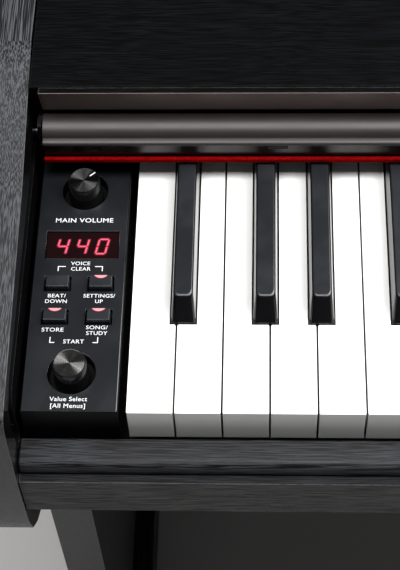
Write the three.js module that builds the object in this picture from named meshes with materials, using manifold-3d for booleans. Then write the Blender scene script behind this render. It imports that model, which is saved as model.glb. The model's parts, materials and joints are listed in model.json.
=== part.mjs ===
// Digital piano on a wooden stand: 88-key keyboard, end blocks with controls, sliding key
// cover, music rest, speakers and three pedals.
// Millimetres, +Z up, +X towards the treble end, +Y towards the back. The origin is on the
// floor, under the middle of the overall box.

import * as THREE from 'three';
import { mergeVertices } from 'three/addons/utils/BufferGeometryUtils.js';
import Module from 'manifold-3d';

const wasm = await Module();
wasm.setup();

// ---------------------------------------------------------------- driving sizes

// Keyboard
const WHITE_COUNT = 52;
const WHITE_PITCH = 23.5;
const KEY_GAP = 1;
const WHITE_HEAD = 50; // wide part of a white key, in front of the black keys
const WHITE_DEPTH = 22; // height of a white key's body
const KEY_DROP = 10; // travel of a white key's front edge
const FALL_FACE = 143; // white key's front edge to the fallboard's face
const TAIL_RUN = 57; // fallboard's face to the end of a key's full body
const TANG_RUN = 15; // hinge tang behind the full body
const TANG_HEIGHT = 6;
const PIVOT_GAP = 3; // hinge tang's end to the hinge line
const PIVOT_DROP = 12; // hinge line below the white key tops
const BLACK_WIDTH = 12.7;
const BLACK_TOP_WIDTH = 9;
const BLACK_HEIGHT = 12;
const BLACK_NOSE = 9.3; // run of the sloping front
const BLACK_STEM = 11; // stem below the white key tops
const BLACK_CLEARANCE = 0.6; // to the white tails on both sides

// Cabinet
const KEY_TOP = 730; // white key tops above the floor
const SIDE_THICKNESS = 29;
const FRONT_OVERHANG = 26; // arms in front of the white keys
const REAR_BAY = 196; // hinge line to the back of the cabinet
const TOP_RISE = 55; // top panel's upper face above the white key tops
const TOP_THICKNESS = 15;
const TOP_FRONT = 158; // top panel's front edge, behind the white keys' front
const BED_DROP = 43; // key bed's upper face below the white key tops
const BED_THICKNESS = 19;
const BACK_THICKNESS = 15;
const SLIP_BASE = 29; // front board's top below the white key tops
const FIT = 0.3; // between pieces that are screwed together

// End blocks
const BLOCK_WIDTH = 47.8;
const BLOCK_TO_KEYS = 3.5;
const BLOCK_TO_SIDE = 2.7;
const BLOCK_RISE = 1.5;
const BLOCK_WALL = 2.5;
const BLOCK_HEIGHT = 38;
const BLOCK_REAR = 200; // rear end, behind the white keys' front

// Controls, placed from the block's middle line and the white keys' front
const KNOB_WELL_RADIUS = 12;
const KNOB_WELL_DEPTH = 8;
const WELL_WALL = 1.5;
const KNOB_RADIUS = 8.1;
const KNOB_FLARE = 1.2;
const KNOB_RISE = 10;
const SHAFT_RADIUS = 3;
const SHAFT_CLEARANCE = 0.3;
const VOLUME_KNOB_Y = 130.9;
const DATA_KNOB_Y = 21.4;
const CONTROL_SHIFT = 0.55; // display and buttons, towards the keys
const DISPLAY_Y = 96.75;
const DISPLAY_WIDTH = 37.3;
const DISPLAY_DEPTH = 16.5;
const DISPLAY_RECESS = 0.6;
const BUTTON_COLUMN = 11.05;
const BUTTON_ROWS = [73, 53.3];
const BUTTON_WIDTH = 12.2;
const BUTTON_DEPTH = 7.5;
const BUTTON_RISE = 3;
const BUTTON_GAP = 0.7;
const BUTTON_TRAVEL = 1;
const BUTTON_STEM = 4.5; // button's foot below the panel
const BOARD_DROP = 20; // control board's upper face below the block's top
const BOARD_THICKNESS = 1.6;
const POWER_BUTTON_Y = 118;

// Key cover, its rail, its pins and the grooves they run in
const COVER_TRAVEL = 148;
const COVER_LAP = 26; // what stays under the top panel when the cover is out
const COVER_THICKNESS = 4;
const COVER_RISE = 26; // cover's lower face above the white key tops
const COVER_END_GAP = 2.2; // cover's end to the side panel
const TAB_THICKNESS = 2.4; // tab that holds a pin at each end
const RAIL_END_GAP = 5.7; // rail's end to the side panel
const GROOVE_RISE = 18;
const GROOVE_CLEARANCE = 0.9; // around a pin
const GROOVE_DEPTH = 5;
const GROOVE_FRONT = -6;
const GROOVE_BEND = 15;
const GROOVE_FOOT = -17;
const PIN_Y = 158;
const PIN_RADIUS = 3.6;
const GROOVE_RADIUS = PIN_RADIUS + GROOVE_CLEARANCE;

// Music rest
const REST_WIDTH = 660;
const REST_HEIGHT = 156;
const REST_THICKNESS = 11.5;
const REST_LEAN = 15; // degrees back from upright
const REST_Y = 250;
const REST_AXIS_RISE = 4.4; // hinge line above the top panel
const REST_BACK_OFFSET = 2.5;
const REST_LIP_DEPTH = 18;
const REST_BARREL = 2.4;

// Stand and pedals
const FOOT_HEIGHT = 45;
const FOOT_WIDTH = 48;
const LEG_FRONT = 95;
const STAND_INSET = 82; // front of the stand's rail to the back of the cabinet
const STAND_RAIL_BOTTOM = 60;
const STAND_RAIL_HEIGHT = 110;
const STAND_RAIL_THICKNESS = 28;
const STAND_PANEL_GAP = 108; // stand panel's top below the key bed
const PEDAL_BOX_WIDTH = 220;
const PEDAL_BOX_DEPTH = 176;
const PEDAL_BOX_HEIGHT = 58;
const PEDAL_BOX_WALL = 4;
const PEDAL_PITCH = 62;
const PEDAL_WIDTH = 24;
const PEDAL_ARM_WIDTH = 14.88;
const PEDAL_REACH = 62; // in front of the box
const PEDAL_THICKNESS = 9;
const PEDAL_AXLE_RADIUS = 4;
const PEDAL_AXLE_BACK = 30; // axle in front of the stand's rail

// Speakers and sockets
const SPEAKER_X = 430;
const SPEAKER_RADIUS = 54;
const SPEAKER_HEIGHT = 44;
const JACK_RADIUS = 3.25;
const JACK_DEPTH = 14;
const JACK_PITCH = 30;
const JACK_PLATE_INSET = 90; // socket plate's end to the side panel
const JACK_PLATE_WIDTH = 150;
const JACK_PLATE_HEIGHT = 40;
const DATA_WIDTH = 12;
const DATA_HEIGHT = 11;
const HEADPHONE_INSET = 70; // headphone box's middle to the side panel
const HEADPHONE_PITCH = 24;

// ---------------------------------------------------------------- derived places

const KEYBOARD_HALF = WHITE_COUNT * WHITE_PITCH / 2;
const INNER_HALF = KEYBOARD_HALF + BLOCK_TO_KEYS + BLOCK_WIDTH + BLOCK_TO_SIDE;
const OUTER_HALF = INNER_HALF + SIDE_THICKNESS;
const PANEL_HALF = INNER_HALF - FIT;
const BODY_END = FALL_FACE + TAIL_RUN;
const TANG_END = BODY_END + TANG_RUN;
const PIVOT_RUN = TANG_END + PIVOT_GAP;
const CABINET_DEPTH = FRONT_OVERHANG + PIVOT_RUN + REAR_BAY;
const BACK = CABINET_DEPTH / 2;
const FRONT = -CABINET_DEPTH / 2;
const KEY_FRONT = FRONT + FRONT_OVERHANG;
const STAND_FRONT = BACK - STAND_INSET;
const BED_TOP = -BED_DROP;
const BED_BOTTOM = -BED_DROP - BED_THICKNESS;
const BACK_FACE = BACK - BACK_THICKNESS - FIT; // inner face of the cabinet's back
const SEGMENTS = 32;
const CUT_PAST = 1; // how far a cutter runs past the face it opens

/** Y of a place that lies a distance behind the white keys' front edge. */
function behind(distance) {
  return KEY_FRONT + distance;
}

/** Z of a place that lies a distance above the white key tops. */
function above(distance) {
  return KEY_TOP + distance;
}

// ---------------------------------------------------------------- materials

const FINISHES = {
  woodgrain: { color: 0x26272a, roughness: 0.5, metalness: 0 },
  gloss_black: { color: 0x0b0b0d, roughness: 0.12, metalness: 0 },
  panel_black: { color: 0x1c1f24, roughness: 0.45, metalness: 0 },
  brown_metal: { color: 0x453c3a, roughness: 0.38, metalness: 0.7 },
  red_felt: { color: 0xb01a14, roughness: 1, metalness: 0 },
  ivory_white: { color: 0xf0f0ee, roughness: 0.3, metalness: 0 },
  key_black: { color: 0x141519, roughness: 0.35, metalness: 0 },
  knob_black: { color: 0x101112, roughness: 0.3, metalness: 0.2 },
  display_red: { color: 0x1a0306, roughness: 0.1, metalness: 0 },
  circuit_green: { color: 0x1c4a2c, roughness: 0.6, metalness: 0 },
  steel: { color: 0x9b9da0, roughness: 0.35, metalness: 0.9 },
  brass: { color: 0xb8934a, roughness: 0.25, metalness: 0.9 },
  grey_plastic: { color: 0x3a3c40, roughness: 0.6, metalness: 0 },
};

// ---------------------------------------------------------------- shape helpers

/** A box between two limits on each axis. */
function block(x0, x1, y0, y1, z0, z1) {
  const box = new THREE.BoxGeometry(x1 - x0, y1 - y0, z1 - z0);
  return box.translate((x0 + x1) / 2, (y0 + y1) / 2, (z0 + z1) / 2);
}

/** An outline through the given [a, b] corners. */
function outline(corners) {
  return new THREE.Shape(corners.map(([a, b]) => new THREE.Vector2(a, b)));
}

/** A flat plate: an XY outline from z0 up to z1. */
function plate(shape, z0, z1, curveSegments = 12) {
  const options = { depth: z1 - z0, bevelEnabled: false, curveSegments };
  return new THREE.ExtrudeGeometry(shape, options).translate(0, 0, z0);
}

/** A moulding: a YZ outline drawn out along X from x0 to x1. */
function moulding(shape, x0, x1, curveSegments = 6) {
  const options = { depth: x1 - x0, bevelEnabled: false, curveSegments };
  const yzToX = new THREE.Matrix4().set(0, 0, 1, x0, 1, 0, 0, 0, 0, 1, 0, 0, 0, 0, 0, 1);
  return new THREE.ExtrudeGeometry(shape, options).applyMatrix4(yzToX);
}

/** A round rod along 'x', 'y' or 'z', starting at a point. */
function rod(axis, radius, length, start, segments = SEGMENTS) {
  const solid = new THREE.CylinderGeometry(radius, radius, length, segments);
  solid.translate(0, length / 2, 0);
  if (axis === 'x') solid.rotateZ(-Math.PI / 2);
  if (axis === 'z') solid.rotateX(Math.PI / 2);
  return solid.translate(...start);
}

/** A turned piece about the Z axis: [radius, height] points from the axis back to the axis. */
function turned(profile, x, y, z, segments = SEGMENTS) {
  const solid = new THREE.LatheGeometry(profile.map(([r, h]) => new THREE.Vector2(r, h)), segments);
  return solid.rotateX(Math.PI / 2).translate(x, y, z);
}

/** A box whose upper face is another rectangle than its lower face. */
function tapered(low, z0, high, z1) {
  const box = new THREE.BoxGeometry(1, 1, 1);
  const places = box.attributes.position;
  for (let i = 0; i < places.count; i += 1) {
    const [x0, x1, y0, y1] = places.getZ(i) > 0 ? high : low;
    const x = places.getX(i) > 0 ? x1 : x0;
    const y = places.getY(i) > 0 ? y1 : y0;
    places.setXYZ(i, x, y, places.getZ(i) > 0 ? z1 : z0);
  }
  return box;
}

function toSolid(geometry) {
  const bare = geometry.clone();
  bare.deleteAttribute('normal');
  bare.deleteAttribute('uv');
  const merged = mergeVertices(bare, 1e-4);
  return new wasm.Manifold(new wasm.Mesh({
    numProp: 3,
    vertProperties: new Float32Array(merged.attributes.position.array),
    triVerts: new Uint32Array(merged.index.array),
  }));
}

function toGeometry(solid) {
  const mesh = solid.getMesh();
  const geometry = new THREE.BufferGeometry();
  geometry.setAttribute('position', new THREE.BufferAttribute(new Float32Array(mesh.vertProperties), 3));
  geometry.setIndex(new THREE.BufferAttribute(new Uint32Array(mesh.triVerts), 1));
  geometry.computeVertexNormals();
  return geometry;
}

/** Several overlapping shapes as one. */
function join(first, ...others) {
  return toGeometry(others.reduce((sum, next) => sum.add(toSolid(next)), toSolid(first)));
}

/** The first shape with the others taken away. */
function cut(first, ...cutters) {
  return toGeometry(cutters.reduce((rest, next) => rest.subtract(toSolid(next)), toSolid(first)));
}

/** The same shape on the other side of the middle plane. */
function mirrored(geometry) {
  const copy = geometry.clone().scale(-1, 1, 1);
  const flipped = copy.index ? copy : mergeVertices(copy, 0);
  const corners = flipped.index.array;
  for (let i = 0; i < corners.length; i += 3) {
    [corners[i], corners[i + 1]] = [corners[i + 1], corners[i]];
  }
  flipped.computeVertexNormals();
  return flipped;
}

const group = new THREE.Group();
group.name = 'digital_piano';

function add(name, finish, geometry) {
  const mesh = new THREE.Mesh(geometry, new THREE.MeshStandardMaterial(FINISHES[finish]));
  mesh.name = name;
  group.add(mesh);
}

// ---------------------------------------------------------------- cabinet

/** Side view of a side panel: arm beside the keys, recessed leg down to its foot. */
function sideOutline() {
  const shape = new THREE.Shape();
  const armTop = above(TOP_RISE + 2);
  const undersideZ = above(BED_BOTTOM) - 12;
  shape.moveTo(BACK, FOOT_HEIGHT + FIT);
  shape.lineTo(BACK, armTop);
  shape.lineTo(behind(188), armTop);
  shape.quadraticCurveTo(behind(150), above(49), behind(105), above(39.3));
  shape.lineTo(behind(-14), above(28.2));
  shape.quadraticCurveTo(behind(-21.3), above(27.4), behind(-21.9), above(16));
  shape.quadraticCurveTo(behind(-24), above(-8), FRONT, above(-34));
  shape.lineTo(FRONT, undersideZ);
  shape.bezierCurveTo(
    FRONT, undersideZ - 55,
    behind(LEG_FRONT), undersideZ - 50,
    behind(LEG_FRONT), undersideZ - 150,
  );
  shape.lineTo(behind(LEG_FRONT), FOOT_HEIGHT + FIT);
  shape.closePath();
  return shape;
}

/** Side view of the groove that guides a cover pin: straight, then down at the front. */
function grooveOutline() {
  const shape = new THREE.Shape();
  const rearY = behind(PIN_Y);
  const bendY = behind(GROOVE_FRONT + GROOVE_BEND);
  const bendZ = above(GROOVE_RISE - GROOVE_BEND);
  const footY = behind(GROOVE_FRONT);
  const footZ = above(GROOVE_FOOT);
  shape.moveTo(rearY, above(GROOVE_RISE + GROOVE_RADIUS));
  shape.lineTo(bendY, above(GROOVE_RISE + GROOVE_RADIUS));
  shape.absarc(bendY, bendZ, GROOVE_BEND + GROOVE_RADIUS, Math.PI / 2, Math.PI, false);
  shape.lineTo(footY - GROOVE_RADIUS, footZ);
  shape.absarc(footY, footZ, GROOVE_RADIUS, Math.PI, 2 * Math.PI, false);
  shape.lineTo(footY + GROOVE_RADIUS, bendZ);
  shape.absarc(bendY, bendZ, GROOVE_BEND - GROOVE_RADIUS, Math.PI, Math.PI / 2, true);
  shape.lineTo(rearY, above(GROOVE_RISE - GROOVE_RADIUS));
  shape.absarc(rearY, above(GROOVE_RISE), GROOVE_RADIUS, -Math.PI / 2, Math.PI / 2, false);
  return shape;
}

function leftSidePanel() {
  const board = moulding(sideOutline(), -OUTER_HALF, -INNER_HALF, 10);
  const groove = moulding(grooveOutline(), -INNER_HALF - GROOVE_DEPTH, -INNER_HALF + CUT_PAST, 8);
  return cut(board, groove);
}

function leftFoot() {
  const low = [-OUTER_HALF, -OUTER_HALF + FOOT_WIDTH, FRONT, BACK];
  const high = [-OUTER_HALF, -OUTER_HALF + FOOT_WIDTH, FRONT + 8, BACK];
  const shoulder = FOOT_HEIGHT * 0.6;
  return join(block(...low, 0, shoulder), tapered(low, shoulder, high, FOOT_HEIGHT));
}

function topPanel() {
  return block(
    -PANEL_HALF, PANEL_HALF, behind(TOP_FRONT), BACK,
    above(TOP_RISE - TOP_THICKNESS), above(TOP_RISE),
  );
}

/** Metal strip over the top panel's front edge, leaning back towards its lower edge. */
function topTrim() {
  const lip = 3.3;
  const under = above(TOP_RISE - TOP_THICKNESS) - FIT;
  const shape = outline([
    [behind(TOP_FRONT - FIT), above(TOP_RISE)],
    [behind(TOP_FRONT - 4.4), above(TOP_RISE)],
    [behind(TOP_FRONT), under - lip],
    [behind(TOP_FRONT + 4), under - lip],
    [behind(TOP_FRONT + 4), under],
    [behind(TOP_FRONT - FIT), under],
  ]);
  return moulding(shape, -INNER_HALF + RAIL_END_GAP, INNER_HALF - RAIL_END_GAP);
}

/** Key bed with the raised front board that carries the key slip. */
function keyBed() {
  const front = behind(2 - FRONT_OVERHANG);
  const shape = outline([
    [front, above(BED_BOTTOM)],
    [BACK_FACE - FIT, above(BED_BOTTOM)],
    [BACK_FACE - FIT, above(BED_TOP)],
    [behind(-4), above(BED_TOP)],
    [behind(-4), above(-SLIP_BASE)],
    [front, above(-SLIP_BASE)],
  ]);
  const bed = moulding(shape, -PANEL_HALF, PANEL_HALF);
  const holes = [-SPEAKER_X, SPEAKER_X].map((x) => rod(
    'z', SPEAKER_RADIUS, BED_THICKNESS + 2 * CUT_PAST, [x, SPEAKER_Y, above(BED_BOTTOM) - CUT_PAST],
  ));
  return cut(bed, ...holes);
}

/** Rounded moulding in front of the white keys. */
function keySlip() {
  const shape = new THREE.Shape();
  const base = above(-SLIP_BASE) + FIT;
  shape.moveTo(behind(-4), base);
  shape.lineTo(behind(-3.5), above(-20.5));
  shape.lineTo(behind(-14.5), above(-20.5));
  shape.quadraticCurveTo(behind(-19.5), above(-20.8), behind(-19.5), base);
  return moulding(shape, -PANEL_HALF, PANEL_HALF);
}

/** Fallboard: face behind the keys, shelf over their tails and a leg down to the key bed. */
function fallboard() {
  const thickness = 3;
  const top = COVER_RISE - 2.4;
  const legY = PIVOT_RUN + 18;
  const faceBottom = BLACK_HEIGHT + 1.8;
  const shape = outline([
    [behind(FALL_FACE), above(faceBottom)],
    [behind(FALL_FACE + thickness), above(faceBottom)],
    [behind(FALL_FACE + thickness + 1.5), above(top - thickness)],
    [behind(legY), above(top - thickness)],
    [behind(legY), above(BED_TOP) + FIT],
    [behind(legY + thickness), above(BED_TOP) + FIT],
    [behind(legY + thickness), above(top)],
    [behind(FALL_FACE + 1.5), above(top)],
  ]);
  return moulding(shape, -FALLBOARD_HALF, FALLBOARD_HALF);
}

function feltStrip() {
  const low = BLACK_HEIGHT + 1.6;
  return block(
    -FALLBOARD_HALF, FALLBOARD_HALF,
    behind(FALL_FACE - 2.5), behind(FALL_FACE - 0.2), above(low), above(low + 3),
  );
}

function rearPanel() {
  const panel = block(
    -PANEL_HALF, PANEL_HALF, BACK_FACE, BACK - FIT,
    above(BED_BOTTOM), above(TOP_RISE - TOP_THICKNESS) - FIT,
  );
  const window = block(
    JACK_PLATE_X0, JACK_PLATE_X1, BACK_FACE - CUT_PAST, BACK + CUT_PAST,
    above(JACK_WINDOW_LOW), above(JACK_WINDOW_HIGH),
  );
  return cut(panel, window);
}

/** Plate of sockets let into the back: power inlet, two round sockets and a square one. */
function rearJackPanel() {
  const plateFront = BACK_FACE + 2;
  const plateBack = BACK - 4;
  const margin = 7; // socket housing inside the plate's edge
  const z0 = above(JACK_WINDOW_LOW) + FIT;
  const z1 = above(JACK_WINDOW_HIGH) - FIT;
  const body = block(JACK_PLATE_X0 + FIT, JACK_PLATE_X1 - FIT, plateFront, plateBack, z0, z1);
  const housing = block(
    JACK_PLATE_X0 + margin, JACK_PLATE_X1 - margin,
    plateFront - JACK_DEPTH, plateFront + CUT_PAST, z0 + margin, z1 - margin,
  );
  const mouth = plateBack + CUT_PAST;
  const holes = JACK_HOLES_X.map((x) => rod(
    'y', JACK_RADIUS, JACK_DEPTH + CUT_PAST, [x, plateBack - JACK_DEPTH, JACK_Z],
  ));
  const square = block(
    DATA_X - DATA_WIDTH / 2, DATA_X + DATA_WIDTH / 2, plateBack - 10, mouth,
    JACK_Z - DATA_HEIGHT / 2, JACK_Z + DATA_HEIGHT / 2,
  );
  return cut(join(body, housing), ...holes, square);
}

// ---------------------------------------------------------------- key cover

function coverRail() {
  const shape = new THREE.Shape();
  shape.moveTo(behind(157.6), above(24.8));
  shape.lineTo(behind(157.6), above(33.8));
  shape.lineTo(behind(155.6), above(33.8));
  shape.bezierCurveTo(behind(150.8), above(33.6), behind(146.4), above(31.6), behind(145.6), above(28.4));
  shape.lineTo(behind(144.4), above(27.6));
  shape.quadraticCurveTo(behind(142.3), above(27.2), behind(142.5), above(25.5));
  shape.lineTo(behind(143.4), above(24.8));
  return moulding(shape, -RAIL_HALF, RAIL_HALF, 8);
}

/** Cover board behind the rail, with an end tab at each side that holds a guide pin. */
function keyCover() {
  const front = behind(TOP_FRONT);
  const back = behind(TOP_FRONT + COVER_TRAVEL + COVER_LAP);
  const tabX1 = INNER_HALF - COVER_END_GAP;
  const tabX0 = tabX1 - TAB_THICKNESS;
  const board = block(-tabX1, tabX1, front, back, above(COVER_RISE), above(COVER_RISE + COVER_THICKNESS));
  const tabs = [[-tabX1, -tabX0], [tabX0, tabX1]].map(([x0, x1]) => block(
    x0, x1, behind(PIN_Y - 6), behind(PIN_Y + 8),
    above(GROOVE_RISE - 5), above(COVER_RISE + COVER_THICKNESS),
  ));
  return join(board, ...tabs);
}

function leftCoverPin() {
  const reach = GROOVE_DEPTH - 1;
  const start = [-INNER_HALF - reach, behind(PIN_Y), above(GROOVE_RISE)];
  return rod('x', PIN_RADIUS, reach + COVER_END_GAP - FIT, start, 20);
}

// ---------------------------------------------------------------- music rest

function restPoint(along, across) {
  const lean = THREE.MathUtils.degToRad(REST_LEAN);
  return [
    behind(REST_Y) + along * Math.sin(lean) + across * Math.cos(lean),
    above(TOP_RISE + REST_AXIS_RISE) + along * Math.cos(lean) - across * Math.sin(lean),
  ];
}

function musicRest() {
  const foot = REST_BARREL + 1;
  const front = REST_BACK_OFFSET - REST_THICKNESS;
  const shape = outline([
    restPoint(foot, front), restPoint(foot, REST_BACK_OFFSET),
    restPoint(REST_HEIGHT, REST_BACK_OFFSET), restPoint(REST_HEIGHT, front),
  ]);
  return moulding(shape, -REST_WIDTH / 2, REST_WIDTH / 2);
}

function musicRestLip() {
  const front = REST_BACK_OFFSET - REST_THICKNESS - FIT;
  const outer = front - REST_LIP_DEPTH;
  const shape = outline([
    restPoint(9, front), restPoint(14, front), restPoint(14, outer + 4),
    restPoint(18, outer + 3), restPoint(18, outer), restPoint(9, outer),
  ]);
  return moulding(shape, -REST_WIDTH / 2, REST_WIDTH / 2);
}

function restHinge() {
  const half = REST_WIDTH / 2 - 30;
  const y = behind(REST_Y);
  const z = above(TOP_RISE);
  const leaf = block(-half, half, y - 7, y + 7, z + 0.1, z + 1.2);
  const web = block(-half, half, y - 1, y + 1, z + 1, z + REST_AXIS_RISE);
  return join(leaf, web, rod('x', REST_BARREL, 2 * half, [-half, y, z + REST_AXIS_RISE], 16));
}

// ---------------------------------------------------------------- end blocks and controls

/** Hollow end block, open below and behind, before its holes are cut. */
function blockShell(x0, x1) {
  const top = above(BLOCK_RISE);
  const outer = block(x0, x1, behind(0), behind(BLOCK_REAR), top - BLOCK_HEIGHT, top);
  const inner = block(
    x0 + BLOCK_WALL, x1 - BLOCK_WALL, behind(BLOCK_WALL), behind(BLOCK_REAR + CUT_PAST),
    top - BLOCK_HEIGHT - CUT_PAST, top - BLOCK_WALL,
  );
  return cut(outer, inner);
}

/** Walls of a knob's well under the panel. */
function wellCup(x, y) {
  const depth = KNOB_WELL_DEPTH + WELL_WALL;
  return rod('z', KNOB_WELL_RADIUS + WELL_WALL, depth, [x, y, above(BLOCK_RISE) - depth]);
}

function leftEndBlock() {
  const top = above(BLOCK_RISE);
  const shell = blockShell(BLOCK_X0, BLOCK_X1);
  const knobs = [VOLUME_KNOB_Y, DATA_KNOB_Y].map(behind);
  const cups = knobs.map((y) => wellCup(BLOCK_X, y));
  const wells = knobs.map((y) => rod(
    'z', KNOB_WELL_RADIUS, KNOB_WELL_DEPTH + CUT_PAST, [BLOCK_X, y, top - KNOB_WELL_DEPTH],
  ));
  const shaftHoles = knobs.map((y) => rod('z', SHAFT_RADIUS + 0.6, 20, [BLOCK_X, y, top - 20], 20));
  const display = block(
    CONTROL_X - DISPLAY_WIDTH / 2 - FIT, CONTROL_X + DISPLAY_WIDTH / 2 + FIT,
    behind(DISPLAY_Y - DISPLAY_DEPTH / 2) - FIT, behind(DISPLAY_Y + DISPLAY_DEPTH / 2) + FIT,
    top - BLOCK_WALL - CUT_PAST, top + CUT_PAST,
  );
  const halfX = BUTTON_WIDTH / 2 + BUTTON_GAP;
  const halfY = BUTTON_DEPTH / 2 + BUTTON_GAP;
  const buttonHoles = BUTTON_PLACES.map(([x, y]) => block(
    x - halfX, x + halfX, y - halfY, y + halfY, top - BLOCK_WALL - CUT_PAST, top + CUT_PAST,
  ));
  return cut(join(shell, ...cups), ...wells, ...shaftHoles, display, ...buttonHoles);
}

function rightEndBlock() {
  const top = above(BLOCK_RISE);
  const halfX = BUTTON_WIDTH / 2 + BUTTON_GAP;
  const y = behind(POWER_BUTTON_Y);
  const hole = block(
    -BLOCK_X - halfX, -BLOCK_X + halfX, y - halfX, y + halfX, top - BLOCK_WALL - CUT_PAST, top + CUT_PAST,
  );
  return cut(blockShell(-BLOCK_X1, -BLOCK_X0), hole);
}

/** Turned knob: tapered skirt inside the well, flat cap above the panel, blind bore below. */
function knob(y) {
  const low = 1 - KNOB_WELL_DEPTH;
  const bore = SHAFT_RADIUS + SHAFT_CLEARANCE;
  const profile = [
    [0, 4], [bore, 4], [bore, low], [KNOB_RADIUS + KNOB_FLARE, low],
    [KNOB_RADIUS + 0.1, KNOB_RISE - 0.6], [KNOB_RADIUS - 0.5, KNOB_RISE], [0, KNOB_RISE],
  ];
  return turned(profile, BLOCK_X, behind(y), above(BLOCK_RISE));
}

function displayWindow() {
  const top = above(BLOCK_RISE) - DISPLAY_RECESS;
  return block(
    CONTROL_X - DISPLAY_WIDTH / 2, CONTROL_X + DISPLAY_WIDTH / 2,
    behind(DISPLAY_Y - DISPLAY_DEPTH / 2), behind(DISPLAY_Y + DISPLAY_DEPTH / 2), top - 1.8, top,
  );
}

function displayModule() {
  const top = above(BLOCK_RISE) - BLOCK_WALL - 1;
  return block(
    CONTROL_X - 17, CONTROL_X + 17, behind(DISPLAY_Y - 7.5), behind(DISPLAY_Y + 7.5),
    above(BLOCK_RISE) - BOARD_DROP + FIT, top,
  );
}

/** A button cap whose sides draw in slightly towards its face. */
function buttonCap(x, y, width, depth) {
  const draft = 0.35;
  const w = width / 2;
  const d = depth / 2;
  const waist = above(BLOCK_RISE) - 2;
  const face = above(BLOCK_RISE + BUTTON_RISE);
  const stem = block(x - w, x + w, y - d, y + d, above(BLOCK_RISE) - BUTTON_STEM, waist);
  const cap = tapered(
    [x - w, x + w, y - d, y + d], waist, [x - w + draft, x + w - draft, y - d + draft, y + d - draft], face,
  );
  return join(stem, cap);
}

/** Circuit board under the panel with its switches, knob controls and their shafts. */
function controlBoard() {
  const top = above(BLOCK_RISE) - BOARD_DROP;
  const board = block(
    BLOCK_X0 + BLOCK_WALL + 0.5, BLOCK_X1 - BLOCK_WALL - 0.5, behind(6), behind(150),
    top - BOARD_THICKNESS, top,
  );
  const switchTop = above(BLOCK_RISE) - BUTTON_STEM - BUTTON_TRAVEL - 0.5;
  const switches = BUTTON_PLACES.map(([x, y]) => block(x - 3, x + 3, y - 3, y + 3, top - 0.5, switchTop));
  const wellFloor = above(BLOCK_RISE) - KNOB_WELL_DEPTH - WELL_WALL;
  const shaftTop = above(BLOCK_RISE) + 3;
  const controls = [VOLUME_KNOB_Y, DATA_KNOB_Y].flatMap((y) => [
    block(BLOCK_X - 6, BLOCK_X + 6, behind(y - 6), behind(y + 6), top - 0.5, wellFloor - 1),
    rod('z', SHAFT_RADIUS, shaftTop - top, [BLOCK_X, behind(y), top], 16),
  ]);
  return join(board, ...switches, ...controls);
}

// ---------------------------------------------------------------- keys

const LETTERS = 'ABCDEFG';
// Middle of a black key from the gap between its white neighbours, by the lower one's letter
const BLACK_SHIFT = { A: 3.36, C: -2.35, D: 2.35, F: -3.36, G: 0 };

/** X of the middle of the black key after a white key, or null where there is none. */
function blackAfter(index) {
  const shift = BLACK_SHIFT[LETTERS[(index + 7) % 7]];
  if (shift === undefined || index < 0 || index >= WHITE_COUNT - 1) return null;
  return -KEYBOARD_HALF + (index + 1) * WHITE_PITCH + shift;
}

/** X limits of a white key's narrow tail. */
function tailLimits(index) {
  const left = -KEYBOARD_HALF + index * WHITE_PITCH + KEY_GAP / 2;
  const right = left + WHITE_PITCH - KEY_GAP;
  const half = BLACK_WIDTH / 2 + BLACK_CLEARANCE;
  const before = blackAfter(index - 1);
  const after = blackAfter(index);
  return [before === null ? left : before + half, after === null ? right : after - half];
}

function whiteBody(index) {
  const left = -KEYBOARD_HALF + index * WHITE_PITCH + KEY_GAP / 2;
  const right = left + WHITE_PITCH - KEY_GAP;
  const [tailLeft, tailRight] = tailLimits(index);
  const corners = [[left, behind(0)], [right, behind(0)]];
  if (tailRight !== right) corners.push([right, behind(WHITE_HEAD)]);
  corners.push([tailRight, behind(tailRight === right ? BODY_END : WHITE_HEAD)]);
  if (tailRight !== right) corners.push([tailRight, behind(BODY_END)]);
  corners.push([tailLeft, behind(BODY_END)]);
  if (tailLeft !== left) corners.push([tailLeft, behind(WHITE_HEAD)], [left, behind(WHITE_HEAD)]);
  return plate(outline(corners), above(-WHITE_DEPTH), above(0));
}

function whiteTang(x0, x1) {
  const low = 2 - WHITE_DEPTH;
  return block(x0, x1, behind(BODY_END - 1), behind(TANG_END), above(low), above(low + TANG_HEIGHT));
}

function blackBody(index) {
  const x = blackAfter(index);
  const start = WHITE_HEAD + 0.5;
  const half = BLACK_WIDTH / 2;
  const topHalf = BLACK_TOP_WIDTH / 2;
  const crownEnd = FALL_FACE + 12;
  const crown = tapered(
    [x - half, x + half, behind(start), behind(crownEnd)], above(0),
    [x - topHalf, x + topHalf, behind(start + BLACK_NOSE), behind(crownEnd)], above(BLACK_HEIGHT),
  );
  const stemEnd = BODY_END + 2.5;
  const stem = block(x - half, x + half, behind(start), behind(stemEnd), above(-BLACK_STEM), above(0.1));
  return join(crown, stem);
}

function blackTang(x0, x1) {
  return block(x0, x1, behind(BODY_END + 1.5), behind(TANG_END), above(2 - BLACK_STEM), above(0));
}

const SINGLE_WHITES = ['key_a0', 'key_b0', 'key_c1', 'key_d1', 'key_e1', 'key_f1'];
const SINGLE_BLACKS = { 0: 'key_a0_sharp', 2: 'key_c1_sharp', 3: 'key_d1_sharp', 5: 'key_f1_sharp' };
const BANKS = [['low', 6, 28], ['high', 29, WHITE_COUNT - 1]];

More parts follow.
